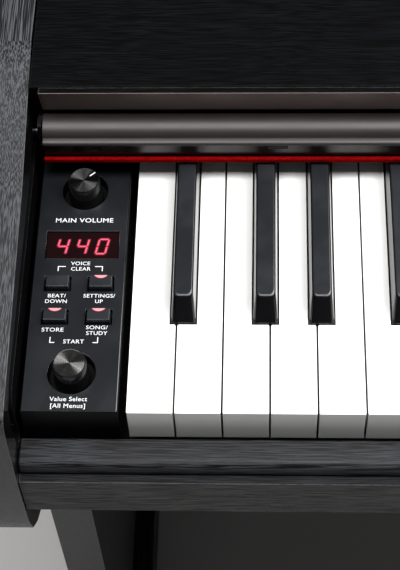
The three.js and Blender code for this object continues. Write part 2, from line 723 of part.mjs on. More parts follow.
function addKeys() {
  SINGLE_WHITES.forEach((name, index) => {
    add(name, 'ivory_white', join(whiteBody(index), whiteTang(...tailLimits(index))));
  });
  Object.entries(SINGLE_BLACKS).forEach(([index, name]) => {
    const x = blackAfter(Number(index));
    const tang = blackTang(x - BLACK_WIDTH / 2, x + BLACK_WIDTH / 2);
    add(name, 'key_black', join(blackBody(Number(index)), tang));
  });
  BANKS.forEach(([name, first, last]) => {
    const indices = Array.from({ length: last - first + 1 }, (_, step) => first + step);
    const whiteBar = whiteTang(tailLimits(first)[0], tailLimits(last)[1]);
    add(`white_bank_${name}`, 'ivory_white', join(whiteBar, ...indices.map(whiteBody)));
    const blacks = indices.filter((index) => blackAfter(index) !== null);
    const ends = [blackAfter(blacks[0]), blackAfter(blacks[blacks.length - 1])];
    const blackBar = blackTang(ends[0] - BLACK_WIDTH / 2, ends[1] + BLACK_WIDTH / 2);
    add(`black_bank_${name}`, 'key_black', join(blackBar, ...blacks.map(blackBody)));
  });
}

/** Tray under the keys: a front stop for the pressed keys and a rear wall at the hinge line. */
function keyboardChassis() {
  const base = BED_TOP + FIT;
  const stop = -WHITE_DEPTH - KEY_DROP - 1;
  const shape = outline([
    [behind(3), above(base)], [behind(PIVOT_RUN + 12), above(base)],
    [behind(PIVOT_RUN + 12), above(-PIVOT_DROP + 8)], [behind(PIVOT_RUN + 3), above(-PIVOT_DROP + 8)],
    [behind(PIVOT_RUN + 3), above(base + 3)], [behind(40), above(base + 3)],
    [behind(40), above(stop)], [behind(3), above(stop)],
  ]);
  return moulding(shape, -KEYBOARD_HALF, KEYBOARD_HALF);
}

// ---------------------------------------------------------------- electronics

function mainBoard() {
  const z = above(BED_TOP) + 6;
  const y0 = behind(PIVOT_RUN + 40);
  const board = block(-170, 90, y0, y0 + 100, z, z + BOARD_THICKNESS);
  const parts = [
    block(-60, -20, y0 + 30, y0 + 70, z + 1, z + 5),
    block(20, 70, y0 + 20, y0 + 45, z + 1, z + 22),
    block(-150, -110, y0 + 20, y0 + 60, z + 1, z + 8),
  ];
  return join(board, ...parts, ...[[-160, 10], [80, 10], [-160, 90], [80, 90]].map(([x, dy]) => rod(
    'z', 3, 6.5 - FIT, [x, y0 + dy, above(BED_TOP) + FIT], 12,
  )));
}

/** Loudspeaker facing down through the key bed: flange, basket and magnet. */
function speaker(x) {
  const r = SPEAKER_RADIUS;
  const profile = [
    [0, 6], [r - 18, 6], [r - 4, 0], [r + 8, 0], [r + 8, 3], [r - 2, 3.2],
    [26, 24], [26, SPEAKER_HEIGHT], [0, SPEAKER_HEIGHT],
  ];
  return turned(profile, x, SPEAKER_Y, above(BED_TOP) + FIT);
}

/** Dished grille under the key bed with slots for the sound. */
function speakerGrille(x) {
  const r = SPEAKER_RADIUS + 9;
  const z = above(BED_BOTTOM) - FIT;
  const disc = turned([[0, -4], [r - 4, -4], [r, -2], [r, 0], [0, 0]], x, SPEAKER_Y, z, 36);
  const slots = [-36, -24, -12, 0, 12, 24, 36].map((dy) => {
    const half = Math.sqrt((SPEAKER_RADIUS - 6) ** 2 - dy ** 2);
    return block(x - half, x + half, SPEAKER_Y + dy - 1.5, SPEAKER_Y + dy + 1.5, z - 6, z + CUT_PAST);
  });
  return cut(disc, ...slots);
}

/** Headphone box under the key bed's bass end with two sockets in its front. */
function headphoneBox() {
  const front = behind(-10);
  const z1 = above(BED_BOTTOM) - FIT;
  const body = block(HEADPHONE_X - 28, HEADPHONE_X + 28, front, front + 48, z1 - 26, z1);
  const sockets = [-HEADPHONE_PITCH / 2, HEADPHONE_PITCH / 2].map((dx) => rod(
    'y', JACK_RADIUS, 22 + CUT_PAST, [HEADPHONE_X + dx, front - CUT_PAST, z1 - 13],
  ));
  return cut(body, ...sockets);
}

// ---------------------------------------------------------------- stand and pedals

function standRail() {
  return block(
    -PANEL_HALF, PANEL_HALF, STAND_FRONT, STAND_FRONT + STAND_RAIL_THICKNESS,
    STAND_RAIL_BOTTOM, STAND_RAIL_BOTTOM + STAND_RAIL_HEIGHT,
  );
}

function standPanel() {
  return block(
    -PANEL_HALF, PANEL_HALF, STAND_FRONT + 6, STAND_FRONT + 6 + BACK_THICKNESS,
    STAND_RAIL_BOTTOM + STAND_RAIL_HEIGHT + FIT, above(BED_BOTTOM) - STAND_PANEL_GAP,
  );
}

/** Hollow pedal housing with a slot in its front for each pedal. */
function pedalBox() {
  const half = PEDAL_BOX_WIDTH / 2;
  const y0 = PEDAL_BOX_FRONT;
  const y1 = STAND_FRONT - FIT;
  const z0 = STAND_RAIL_BOTTOM;
  const z1 = z0 + PEDAL_BOX_HEIGHT;
  const w = PEDAL_BOX_WALL;
  const outer = block(-half, half, y0, y1, z0, z1);
  const inner = block(-half + w, half - w, y0 + w, y1 + CUT_PAST, z0 + w, z1 - w);
  const slots = PEDAL_XS.map((x) => block(
    x - PEDAL_WIDTH / 2 - 2, x + PEDAL_WIDTH / 2 + 2, y0 - CUT_PAST, y0 + w + CUT_PAST, z0 + 6, z1 - 12,
  ));
  const boreStart = [-half - CUT_PAST, PEDAL_AXLE_Y, PEDAL_AXLE_Z];
  const bore = rod('x', PEDAL_AXLE_RADIUS + FIT, 2 * (half + CUT_PAST), boreStart);
  return cut(outer, inner, ...slots, bore);
}

function pedalAxle() {
  const half = PEDAL_BOX_WIDTH / 2;
  return rod('x', PEDAL_AXLE_RADIUS, 2 * half, [-half, PEDAL_AXLE_Y, PEDAL_AXLE_Z], 24);
}

/** Pedal: round-nosed foot plate, arm and boss turning on the axle. */
function pedal(x) {
  const tip = PEDAL_BOX_FRONT - PEDAL_REACH;
  const half = PEDAL_WIDTH / 2;
  const armHalf = PEDAL_ARM_WIDTH / 2;
  const shape = new THREE.Shape();
  shape.moveTo(x - half, tip + half);
  shape.absarc(x, tip + half, half, Math.PI, 2 * Math.PI, false);
  shape.lineTo(x + armHalf, PEDAL_BOX_FRONT - 4);
  shape.lineTo(x + armHalf, PEDAL_AXLE_Y);
  shape.lineTo(x - armHalf, PEDAL_AXLE_Y);
  shape.lineTo(x - armHalf, PEDAL_BOX_FRONT - 4);
  const lever = plate(shape, PEDAL_AXLE_Z - PEDAL_THICKNESS / 2, PEDAL_AXLE_Z + PEDAL_THICKNESS / 2, 14);
  const bossStart = [x - armHalf, PEDAL_AXLE_Y, PEDAL_AXLE_Z];
  const boss = rod('x', PEDAL_AXLE_RADIUS + 5, PEDAL_ARM_WIDTH, bossStart, 24);
  const bore = rod('x', PEDAL_AXLE_RADIUS + FIT, 2 * half, [x - half, PEDAL_AXLE_Y, PEDAL_AXLE_Z], 24);
  return cut(join(lever, boss), bore);
}

/** Screw foot that carries the pedal box when a pedal is pressed. */
function boxLeveller() {
  const top = STAND_RAIL_BOTTOM - FIT;
  const profile = [[0, 0], [16, 0], [16, 6], [10, 10], [5, 10], [5, top], [0, top]];
  return turned(profile, 0, PEDAL_BOX_FRONT + 50, 0, 24);
}

// ---------------------------------------------------------------- places shared by pieces

const SPEAKER_Y = (behind(PIVOT_RUN + 24) + BACK_FACE) / 2;
const FALLBOARD_HALF = INNER_HALF - RAIL_END_GAP + FIT;
const RAIL_HALF = INNER_HALF - RAIL_END_GAP;
const BLOCK_X0 = -INNER_HALF + BLOCK_TO_SIDE;
const BLOCK_X1 = BLOCK_X0 + BLOCK_WIDTH;
const BLOCK_X = (BLOCK_X0 + BLOCK_X1) / 2;
const CONTROL_X = BLOCK_X + CONTROL_SHIFT;
const BUTTON_PLACES = BUTTON_ROWS.flatMap((row) => [
  [CONTROL_X - BUTTON_COLUMN, behind(row)],
  [CONTROL_X + BUTTON_COLUMN, behind(row)],
]);
const JACK_PLATE_X0 = -INNER_HALF + JACK_PLATE_INSET;
const JACK_PLATE_X1 = JACK_PLATE_X0 + JACK_PLATE_WIDTH;
const JACK_WINDOW_LOW = BED_TOP + 12;
const JACK_WINDOW_HIGH = JACK_WINDOW_LOW + JACK_PLATE_HEIGHT;
const JACK_Z = above(JACK_WINDOW_LOW + JACK_PLATE_HEIGHT / 2);
const JACK_HOLES_X = [0, 1, 2].map((step) => JACK_PLATE_X0 + 28 + step * JACK_PITCH);
const DATA_X = JACK_PLATE_X0 + 120;
const HEADPHONE_X = -INNER_HALF + HEADPHONE_INSET;
const PEDAL_BOX_FRONT = STAND_FRONT - PEDAL_BOX_DEPTH;
const PEDAL_AXLE_Y = STAND_FRONT - PEDAL_AXLE_BACK;
const PEDAL_AXLE_Z = STAND_RAIL_BOTTOM + 29;
const PEDAL_XS = [-PEDAL_PITCH, 0, PEDAL_PITCH];

// ---------------------------------------------------------------- assembly

add('left_side_panel', 'woodgrain', leftSidePanel());
add('right_side_panel', 'woodgrain', mirrored(leftSidePanel()));
add('left_foot', 'woodgrain', leftFoot());
add('right_foot', 'woodgrain', mirrored(leftFoot()));
add('top_panel', 'woodgrain', topPanel());
add('top_trim', 'brown_metal', topTrim());
add('rear_panel', 'woodgrain', rearPanel());
add('rear_jack_panel', 'grey_plastic', rearJackPanel());
add('key_bed', 'woodgrain', keyBed());
add('key_slip', 'woodgrain', keySlip());
add('fallboard', 'gloss_black', fallboard());
add('felt_strip', 'red_felt', feltStrip());
add('cover_rail', 'brown_metal', coverRail());
add('key_cover', 'woodgrain', keyCover());
add('left_cover_pin', 'steel', leftCoverPin());
add('right_cover_pin', 'steel', mirrored(leftCoverPin()));
add('music_rest', 'woodgrain', musicRest());
add('music_rest_lip', 'woodgrain', musicRestLip());
add('rest_hinge', 'steel', restHinge());
add('left_end_block', 'panel_black', leftEndBlock());
add('right_end_block', 'panel_black', rightEndBlock());
add('volume_knob', 'knob_black', knob(VOLUME_KNOB_Y));
add('data_knob', 'knob_black', knob(DATA_KNOB_Y));
add('display_window', 'display_red', displayWindow());
add('display_module', 'grey_plastic', displayModule());
['reset_button', 'sound_button', 'record_button', 'demo_button'].forEach((name, i) => {
  add(name, 'panel_black', buttonCap(...BUTTON_PLACES[i], BUTTON_WIDTH, BUTTON_DEPTH));
});
add('power_button', 'panel_black', buttonCap(-BLOCK_X, behind(POWER_BUTTON_Y), BUTTON_WIDTH, BUTTON_WIDTH));
add('control_board', 'circuit_green', controlBoard());
addKeys();
add('keyboard_chassis', 'grey_plastic', keyboardChassis());
add('main_board', 'circuit_green', mainBoard());
add('left_speaker', 'grey_plastic', speaker(-SPEAKER_X));
add('right_speaker', 'grey_plastic', speaker(SPEAKER_X));
add('left_speaker_grille', 'steel', speakerGrille(-SPEAKER_X));
add('right_speaker_grille', 'steel', speakerGrille(SPEAKER_X));
add('headphone_box', 'grey_plastic', headphoneBox());
add('stand_rail', 'woodgrain', standRail());
add('stand_panel', 'woodgrain', standPanel());
add('pedal_box', 'woodgrain', pedalBox());
add('pedal_axle', 'steel', pedalAxle());
['soft_pedal', 'sostenuto_pedal', 'damper_pedal'].forEach((name, i) => {
  add(name, 'brass', pedal(PEDAL_XS[i]));
});
add('box_leveller', 'grey_plastic', boxLeveller());

export default group;
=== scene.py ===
# %% [markdown]
# # Digital piano on its stand
# A full-size digital piano: a cabinet with arms beside the keys, a sliding key cover, a control
# panel at the bass end, a music rest on top, and a stand with three pedals. The design comes as
# a fixed frame of plain solids. This script gives each piece its fine shape and its finish.
# Everything is in metres: +X runs to the treble end, +Y to the back and +Z up from the floor.

import json
import math

import bmesh
import bpy
from mathutils import Matrix, Vector


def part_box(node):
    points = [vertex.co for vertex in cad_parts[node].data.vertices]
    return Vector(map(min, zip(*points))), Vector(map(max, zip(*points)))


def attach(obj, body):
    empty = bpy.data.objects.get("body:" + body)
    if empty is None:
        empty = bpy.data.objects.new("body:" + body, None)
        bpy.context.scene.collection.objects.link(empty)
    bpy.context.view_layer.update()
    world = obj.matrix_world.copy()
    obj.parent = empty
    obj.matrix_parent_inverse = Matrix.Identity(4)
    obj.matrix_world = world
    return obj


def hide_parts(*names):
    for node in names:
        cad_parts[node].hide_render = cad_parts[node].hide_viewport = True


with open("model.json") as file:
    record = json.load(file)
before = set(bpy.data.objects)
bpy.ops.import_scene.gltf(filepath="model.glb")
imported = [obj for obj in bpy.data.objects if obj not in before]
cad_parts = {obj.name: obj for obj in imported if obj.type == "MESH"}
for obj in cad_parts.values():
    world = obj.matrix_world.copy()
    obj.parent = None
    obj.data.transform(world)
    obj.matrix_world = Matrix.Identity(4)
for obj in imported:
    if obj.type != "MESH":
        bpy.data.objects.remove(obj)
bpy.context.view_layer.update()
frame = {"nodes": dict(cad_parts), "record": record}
MM = 0.001

# %% [markdown]
# The keyboard sets the places of everything else. The lowest white key gives three of them:
# its front edge, its top, and the left edge of the keyboard. A full keyboard has 52 white keys,
# so the distance from the first to the last one gives the pitch.

# %% Places taken from the keyboard
WHITE_COUNT = 52
first_low, first_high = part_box("key_a0")
bank_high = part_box("white_bank_high")[1]
KEY_FRONT = first_low.y
KEY_TOP = first_high.z
KEY_GAP = 1.0 * MM
PITCH = (bank_high.x - first_low.x + KEY_GAP) / WHITE_COUNT
KEYS_LEFT = first_low.x - KEY_GAP / 2


def spot(x, y, z):
    """A point in millimetres from the left end, the front edge and the tops of the white keys."""
    return Vector((KEYS_LEFT + x * MM, KEY_FRONT + y * MM, KEY_TOP + z * MM))


print("white key pitch", round(PITCH / MM, 2), "mm")

# %% [markdown]
# ## Camera
# The view is the one a player gets when looking down at the bass end from a little to the right
# of it. A long lens keeps the keys nearly parallel. The camera is turned by three angles about
# X, Y and Z, so it can be placed again by hand.

# %% Camera
CAMERA_PLACE = (-0.5432643, -0.5339109, 1.3944608)
CAMERA_TURN = (31.9101, 1.9608, 1.4207)
LENS = 96.98

camera_data = bpy.data.cameras.new("view")
camera_data.lens = LENS
camera_data.sensor_width = 36
camera_data.clip_end = 50
camera = bpy.data.objects.new("view", camera_data)
camera.location = CAMERA_PLACE
camera.rotation_euler = [math.radians(angle) for angle in CAMERA_TURN]
bpy.context.scene.collection.objects.link(camera)
bpy.context.scene.camera = camera
print("camera lens", camera_data.lens, "mm")

# %% [markdown]
# ## Studio
# A pale seamless floor and soft lamps. Most of the light comes from a long lamp straight overhead
# and from one high up past the treble end, so the key tops are bright, their fronts stay in shade
# and the satin plastics show a soft sheen. A weak lamp in front lifts the front faces a little.

# %% Floor and lamps
def start_material(name):
    """A new material, with its node tree and its shader."""
    material = bpy.data.materials.new(name)
    material.use_nodes = True
    return material, material.node_tree, material.node_tree.nodes["Principled BSDF"]


def paint_floor():
    material, _, shader = start_material("pale floor")
    shader.inputs["Base Color"].default_value = (0.78, 0.77, 0.75, 1)
    shader.inputs["Roughness"].default_value = 0.7
    return material


def studio_floor(half):
    shape = bmesh.new()
    bmesh.ops.create_grid(shape, x_segments=1, y_segments=1, size=half)
    mesh = bpy.data.meshes.new("floor")
    shape.to_mesh(mesh)
    shape.free()
    floor = bpy.data.objects.new("floor", mesh)
    floor.data.materials.append(paint_floor())
    bpy.context.scene.collection.objects.link(floor)


def soft_lamp(name, place, target, width, height, power):
    """A rectangular soft lamp that faces a point."""
    data = bpy.data.lights.new(name, "AREA")
    data.shape = "RECTANGLE"
    data.size = width
    data.size_y = height
    data.energy = power
    lamp = bpy.data.objects.new(name, data)
    lamp.location = place
    direction = Vector(target) - Vector(place)
    lamp.rotation_euler = direction.to_track_quat("-Z", "Y").to_euler()
    lamp.visible_camera = False
    bpy.context.scene.collection.objects.link(lamp)


studio_floor(half=6)
KEYBOARD_BASS = (-0.5, KEY_FRONT + 0.08, KEY_TOP)
UNDER_LAMP = (-0.4, -0.22, KEY_TOP)
soft_lamp("key lamp", (0.95, 0.40, 2.45), KEYBOARD_BASS, width=1.5, height=1.3, power=80)
soft_lamp("overhead lamp", (-0.4, -0.26, 3.0), UNDER_LAMP, width=3.2, height=0.9, power=88)
soft_lamp("front lamp", (-0.4, -2.0, 2.6), KEYBOARD_BASS, width=3.2, height=1.7, power=1.5)
world = bpy.data.worlds.new("studio")
world.use_nodes = True
world.node_tree.nodes["Background"].inputs["Color"].default_value = (1, 1, 1, 1)
world.node_tree.nodes["Background"].inputs["Strength"].default_value = 0.05
bpy.context.scene.world = world
bpy.context.scene.view_settings.view_transform = "Standard"

# %% [markdown]
# ## Finishes
# A finish is a small network of shader nodes. Three effects are used by many finishes, so each is
# a node group that is built once: the open grain of black-stained ash, the fine texture of
# moulded plastic or metal, and a pale line along edges that is partly wear and partly a painted
# highlight. Each group only puts out masks and heights. The shader itself stays in the material.

# %% Helpers for shader nodes
def add_node(tree, kind, **settings):
    made = tree.nodes.new("ShaderNode" + kind)
    for name, value in settings.items():
        setattr(made, name, value)
    return made


def start_group(name, inputs, outputs):
    """An empty shader group, with its input and output nodes."""
    group = bpy.data.node_groups.new(name, "ShaderNodeTree")
    for label, kind, value in inputs:
        socket = group.interface.new_socket(label, in_out="INPUT", socket_type=kind)
        socket.default_value = value
    for label in outputs:
        group.interface.new_socket(label, in_out="OUTPUT", socket_type="NodeSocketFloat")
    return group, group.nodes.new("NodeGroupInput"), group.nodes.new("NodeGroupOutput")


def place_group(tree, group, **values):
    """One use of a group in a material, with its own input values."""
    made = tree.nodes.new("ShaderNodeGroup")
    made.node_tree = group
    for label, value in values.items():
        made.inputs[label].default_value = value
    return made


def noise(tree, vector, scale, detail=2.0, roughness=0.5):
    made = add_node(tree, "TexNoise")
    made.inputs["Scale"].default_value = scale
    made.inputs["Detail"].default_value = detail
    made.inputs["Roughness"].default_value = roughness
    tree.links.new(vector, made.inputs["Vector"])
    return made


def remap(tree, value, low, high, new_low, new_high):
    """A smooth step: low to high becomes new_low to new_high."""
    made = add_node(tree, "MapRange", interpolation_type="SMOOTHSTEP")
    for label, number in zip(("From Min", "From Max", "To Min", "To Max"), (low, high, new_low, new_high)):
        made.inputs[label].default_value = number
    tree.links.new(value, made.inputs["Value"])
    return made.outputs["Result"]


def blend_colors(tree, mask, first, second):
    """A colour that goes from the first to the second by a mask. Either may be a socket."""
    made = add_node(tree, "Mix", data_type="RGBA")
    tree.links.new(mask, made.inputs["Factor"])
    for socket, color in ((made.inputs[6], first), (made.inputs[7], second)):
        if isinstance(color, bpy.types.NodeSocket):
            tree.links.new(color, socket)
        else:
            socket.default_value = (*color, 1)
    return made.outputs[2]


def bump(tree, height, distance, strength=1.0, normal=None):
    made = add_node(tree, "Bump")
    made.inputs["Strength"].default_value = strength
    made.inputs["Distance"].default_value = distance
    tree.links.new(height, made.inputs["Height"])
    if normal is not None:
        tree.links.new(normal, made.inputs["Normal"])
    return made.outputs["Normal"]


# %% [markdown]
# Ash has rings of open pores: short dark dashes that run along the board, on a broader figure
# that wanders. Stretched noise gives both. The stretch is an input, so that a board can have its
# grain along any axis, and a little slow noise bends the lines. The first output is 1 on plain
# wood and falls to 0 in a pore.

# %% Group: open grain
def stretched(group, inputs):
    """The place on the piece, plain and multiplied by the group's stretch."""
    place = add_node(group, "TexCoord").outputs["Object"]
    drawn = add_node(group, "VectorMath", operation="MULTIPLY")
    group.links.new(place, drawn.inputs[0])
    group.links.new(inputs.outputs["Stretch"], drawn.inputs[1])
    return place, drawn.outputs[0]


def build_grain():
    group, inputs, outputs = start_group(
        "open grain", [("Stretch", "NodeSocketVector", (1000, 60, 1000))], ["Wood", "Figure"],
    )
    place, drawn = stretched(group, inputs)
    sway = noise(group, place, 7, detail=1)
    bend = add_node(group, "VectorMath", operation="MULTIPLY")
    group.links.new(sway.outputs["Color"], bend.inputs[0])
    bend.inputs[1].default_value = (7, 7, 7)
    bent = add_node(group, "VectorMath", operation="ADD")
    group.links.new(drawn, bent.inputs[0])
    group.links.new(bend.outputs[0], bent.inputs[1])
    dashes = noise(group, bent.outputs[0], 1.0, detail=1.5, roughness=0.5)
    figure = noise(group, bent.outputs[0], 0.16, detail=2)
    group.links.new(remap(group, dashes.outputs["Fac"], 0.42, 0.64, 0, 1), outputs.inputs["Wood"])
    group.links.new(remap(group, figure.outputs["Fac"], 0.34, 0.66, 0, 1), outputs.inputs["Figure"])
    return group


GRAIN = build_grain()
print("group", GRAIN.name)

# %% [markdown]
# Moulded plastic and drawn metal are never quite even: handling leaves broad dull patches, and
# the tool leaves a fine texture. The group gives a patch mask and a texture height. The texture
# can be stretched, which turns it into the brushed lines of metal.

# %% Group: fine texture
def build_texture():
    group, inputs, outputs = start_group(
        "fine texture", [("Stretch", "NodeSocketVector", (2400, 2400, 2400))], ["Patches", "Texture"],
    )
    place, drawn = stretched(group, inputs)
    patches = noise(group, place, 26, detail=4, roughness=0.6)
    texture = noise(group, drawn, 1.0, detail=2)
    group.links.new(remap(group, patches.outputs["Fac"], 0.35, 0.65, 0, 1), outputs.inputs["Patches"])
    group.links.new(texture.outputs["Fac"], outputs.inputs["Texture"])
    return group


TEXTURE = build_texture()
print("group", TEXTURE.name)

# %% [markdown]
# Paint thins on edges, so the colour there turns paler. The paler line is also a painted
# highlight, standing in for the light that a rounded edge catches. The bevel node gives the normal
# of a rounded version of the surface. Where it differs from the true normal there is an edge, and
# fine noise breaks the line up.

# %% Group: edge wear and painted highlight
def build_wear_and_highlight():
    group, inputs, outputs = start_group("edge wear and painted highlight", [("Radius", "NodeSocketFloat", 0.0012)], ["Wear"])
    rounded = add_node(group, "Bevel", samples=4)
    group.links.new(inputs.outputs["Radius"], rounded.inputs["Radius"])
    true = add_node(group, "NewGeometry")
    product = add_node(group, "VectorMath", operation="DOT_PRODUCT")
    group.links.new(rounded.outputs["Normal"], product.inputs[0])
    group.links.new(true.outputs["Normal"], product.inputs[1])
    edge = remap(group, product.outputs["Value"], 0.86, 0.995, 1, 0)
    place = add_node(group, "TexCoord")
    chips = noise(group, place.outputs["Object"], 320, detail=3, roughness=0.7)
    broken = add_node(group, "Math", operation="MULTIPLY")
    group.links.new(edge, broken.inputs[0])
    group.links.new(remap(group, chips.outputs["Fac"], 0.3, 0.6, 0.35, 1), broken.inputs[1])
    group.links.new(broken.outputs[0], outputs.inputs["Wear"])
    return group


WEAR_AND_HIGHLIGHT = build_wear_and_highlight()
print("group", WEAR_AND_HIGHLIGHT.name)

# %% [markdown]
# The cabinet is ash veneer, stained black and lacquered satin, with the pores left open. Each
# board needs the grain along its own length, so the finish is a function of that axis. Lacquer
# gathers in the pores, so they are glossier than the wood between them.

# %% Finish: black ash
ACROSS = 1900
ALONG = {"X": 55, "Y": 24}
# Paler edge colour of the ash: partly wear, partly a painted highlight.
WORN_AND_HIGHLIT_ASH = (0.085, 0.080, 0.078)


def black_ash(name, axis, dark, light, gloss=0.42, sheen=0.35):
    stretch = [ACROSS, ACROSS, ACROSS]
    stretch["XYZ".index(axis)] = ALONG[axis]
    material, tree, shader = start_material(name)
    grain = place_group(tree, GRAIN, Stretch=stretch)
    # The pale edge colour mixed in here is partly wear and partly a painted highlight.
    wear_and_highlight = place_group(tree, WEAR_AND_HIGHLIGHT, Radius=0.0010)
    board = blend_colors(tree, grain.outputs["Figure"], light, [c * 0.75 for c in light])
    pored = blend_colors(tree, grain.outputs["Wood"], dark, board)
    worn_and_highlit = blend_colors(tree, wear_and_highlight.outputs["Wear"], pored, WORN_AND_HIGHLIT_ASH)
    tree.links.new(worn_and_highlit, shader.inputs["Base Color"])
    tree.links.new(
        remap(tree, grain.outputs["Wood"], 0, 1, gloss, gloss + 0.28), shader.inputs["Roughness"],
    )
    tree.links.new(bump(tree, grain.outputs["Wood"], 0.00012, 0.55), shader.inputs["Normal"])
    shader.inputs["Specular IOR Level"].default_value = sheen
    return material


PORE_BLACK = (0.002, 0.0021, 0.0024)
ASH = {
    "Y": black_ash("black ash along the arms", "Y", (0.002, 0.0021, 0.0026), (0.060, 0.063, 0.071)),
    "X": black_ash("black ash across", "X", PORE_BLACK, (0.027, 0.0285, 0.033), sheen=0.28),
    # The key bed takes a darker copy of the same ash, with less sheen: the darkness is painted shade on
    # its front.
    "bed": black_ash("black ash of the bed, darker as painted shade", "X", PORE_BLACK, (0.015, 0.016, 0.0185), sheen=0.13),
    # The top takes a near-black copy of the ash: the darkness is painted shade.
    "top": black_ash(
        "black ash top, darker as painted shade", "X", (0.001, 0.001, 0.0011), (0.0036, 0.004, 0.0046), gloss=0.55, sheen=0.03,
    ),
}
print("ash finishes:", sorted(ASH))

# %% [markdown]
# The other hard surfaces share one recipe: a colour that varies a little with the patches, a
# roughness that does the same, and a fine bump. Constant values, such as the coat, are set
# straight on the shader.

# %% Recipe for moulded and drawn surfaces
def hard_surface(name, color, rough, spread=0.06, stretch=(2400,) * 3, relief=0.00002, metal=0.0,
                 vary=0.15, wear_and_highlight=None, wear_and_highlight_radius=0.0005, **constants):
    material, tree, shader = start_material(name)
    texture = place_group(tree, TEXTURE, Stretch=stretch)
    low = [c * (1 - vary) for c in color]
    high = [min(1, c * (1 + vary)) for c in color]
    paint = blend_colors(tree, texture.outputs["Patches"], low, high)
    # A paler colour along edges: partly wear, partly a painted highlight.
    if wear_and_highlight is not None:
        edges = place_group(tree, WEAR_AND_HIGHLIGHT, Radius=wear_and_highlight_radius)
        paint = blend_colors(tree, edges.outputs["Wear"], paint, wear_and_highlight)
    tree.links.new(paint, shader.inputs["Base Color"])
    gloss = remap(tree, texture.outputs["Patches"], 0, 1, rough - spread, rough + spread)
    tree.links.new(gloss, shader.inputs["Roughness"])
    tree.links.new(bump(tree, texture.outputs["Texture"], relief, 0.6), shader.inputs["Normal"])
    shader.inputs["Metallic"].default_value = metal
    for label, value in constants.items():
        shader.inputs[label.replace("_", " ")].default_value = value
    return material


BRUSHED_X = (40, 3200, 3200)
FINISH = {
    "gloss_black": hard_surface("piano black gloss", (0.004, 0.004, 0.0045), 0.07, 0.03, relief=0.000004),
    "panel_black": hard_surface(
        "charcoal panel plastic", (0.0052, 0.0062, 0.0079), 0.30, 0.02, relief=0.00003,
    ),
    "brown_metal": hard_surface(
        "brown anodised aluminium", (0.030, 0.0235, 0.023), 0.40, 0.02, BRUSHED_X, 0.000004, 0.3, 0.03,
    ),
    "ivory_white": hard_surface("white key plastic", (0.86, 0.86, 0.84), 0.22, 0.04, vary=0.012),
    "key_black": hard_surface(
        "black key plastic", (0.0078, 0.0088, 0.0115), 0.32, 0.03, relief=0.00002,
    ),
    # The buttons' paler edges are partly wear and partly a painted highlight.
    "button_black": hard_surface(
        "button plastic", (0.010, 0.0115, 0.014), 0.34, 0.04, wear_and_highlight=(0.07, 0.075, 0.08), wear_and_highlight_radius=0.0004,
    ),
    "knob_black": hard_surface("knob skirt gloss", (0.006, 0.006, 0.0065), 0.16, 0.04, relief=0.000006),
    "display_red": hard_surface(
        "red display lens", (0.006, 0.0014, 0.0018), 0.10, 0.02, relief=0.000003,
    ),
    "circuit_green": hard_surface("circuit board green", (0.015, 0.08, 0.03), 0.4, 0.08),
    "steel": hard_surface("bright steel", (0.60, 0.60, 0.61), 0.22, 0.05, BRUSHED_X, 0.00001, 1.0, 0.05),
    "black_metal": hard_surface("powder-coated black", (0.016, 0.016, 0.017), 0.48, 0.05, relief=0.00006),
    "brass": hard_surface(
        "polished brass", (0.80, 0.57, 0.25), 0.16, 0.07, (2600, 60, 2600), 0.000008, 1.0, 0.08,
    ),
    "grey_plastic": hard_surface("dark grey plastic", (0.035, 0.036, 0.038), 0.5, 0.06, relief=0.00005),
    "rubber": hard_surface("matt rubber", (0.017, 0.017, 0.017), 0.75, 0.06, relief=0.00008),
    "woodgrain": ASH["X"],
}
print("finishes:", sorted(FINISH))

# %% [markdown]
# Felt is a mat of short red hairs. It has no gloss, only the soft light of the hairs at its
# edge, which the sheen of the shader gives. Two sizes of noise make the matted surface.

# %% Finish: red felt
def red_felt():
    material, tree, shader = start_material("red felt")
    place = add_node(tree, "TexCoord")
    clumps = noise(tree, place.outputs["Object"], 700, detail=4, roughness=0.7)
    hairs = noise(tree, place.outputs["Object"], 4200, detail=3, roughness=0.7)
    tufts = remap(tree, clumps.outputs["Fac"], 0.3, 0.7, 0, 1)
    red = blend_colors(tree, tufts, (0.11, 0.0006, 0.001), (0.24, 0.0025, 0.003))
    tree.links.new(red, shader.inputs["Base Color"])
    matted = bump(tree, clumps.outputs["Fac"], 0.0005, 0.7)
    tree.links.new(bump(tree, hairs.outputs["Fac"], 0.0002, 0.8, matted), shader.inputs["Normal"])
    shader.inputs["Roughness"].default_value = 0.95
    shader.inputs["Specular IOR Level"].default_value = 0.0
    shader.inputs["Sheen Weight"].default_value = 0.05
    shader.inputs["Sheen Roughness"].default_value = 0.4
    shader.inputs["Sheen Tint"].default_value = (1.0, 0.25, 0.2, 1)
    return material


FINISH["red_felt"] = red_felt()
print("felt ready")

# %% [markdown]
# ## Shape helpers
# A piece is made in bmesh, then turned into an object that sits at the origin, with its place in
# its mesh. Each piece rides on a body, takes its finish from a slot of the design, and may stand
# for a node of the design. Smooth shading with sharp edges by angle suits hard surfaces.

# %% Helper for pieces
SHARP = math.radians(32)


def make_piece(name, shape, body, slot, material=None, node=None, sharp=SHARP, weighted=False):
    """Turns a bmesh into a finished piece."""
    mesh = bpy.data.meshes.new(name)
    shape.to_mesh(mesh)
    shape.free()
    mesh.shade_smooth()
    mesh.set_sharp_from_angle(angle=sharp)
    piece = bpy.data.objects.new(name, mesh)
    mesh.materials.append(material or FINISH[slot])
    bpy.context.scene.collection.objects.link(piece)
    if weighted:
        normals = piece.modifiers.new("even normals", "WEIGHTED_NORMAL")
        normals.keep_sharp = True
    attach(piece, body)
    if node:
        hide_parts(node)
    return piece


print("edges stay sharp from", round(math.degrees(SHARP)), "degrees")

# %% [markdown]
# The same few operators shape most pieces, so each has a short helper with the settings that it
# always needs: a rounded edge, a block, a cut along a plane, a face pushed out and a turned
# outline. A helper adds to a shape that is already there, so several of them can build one piece.

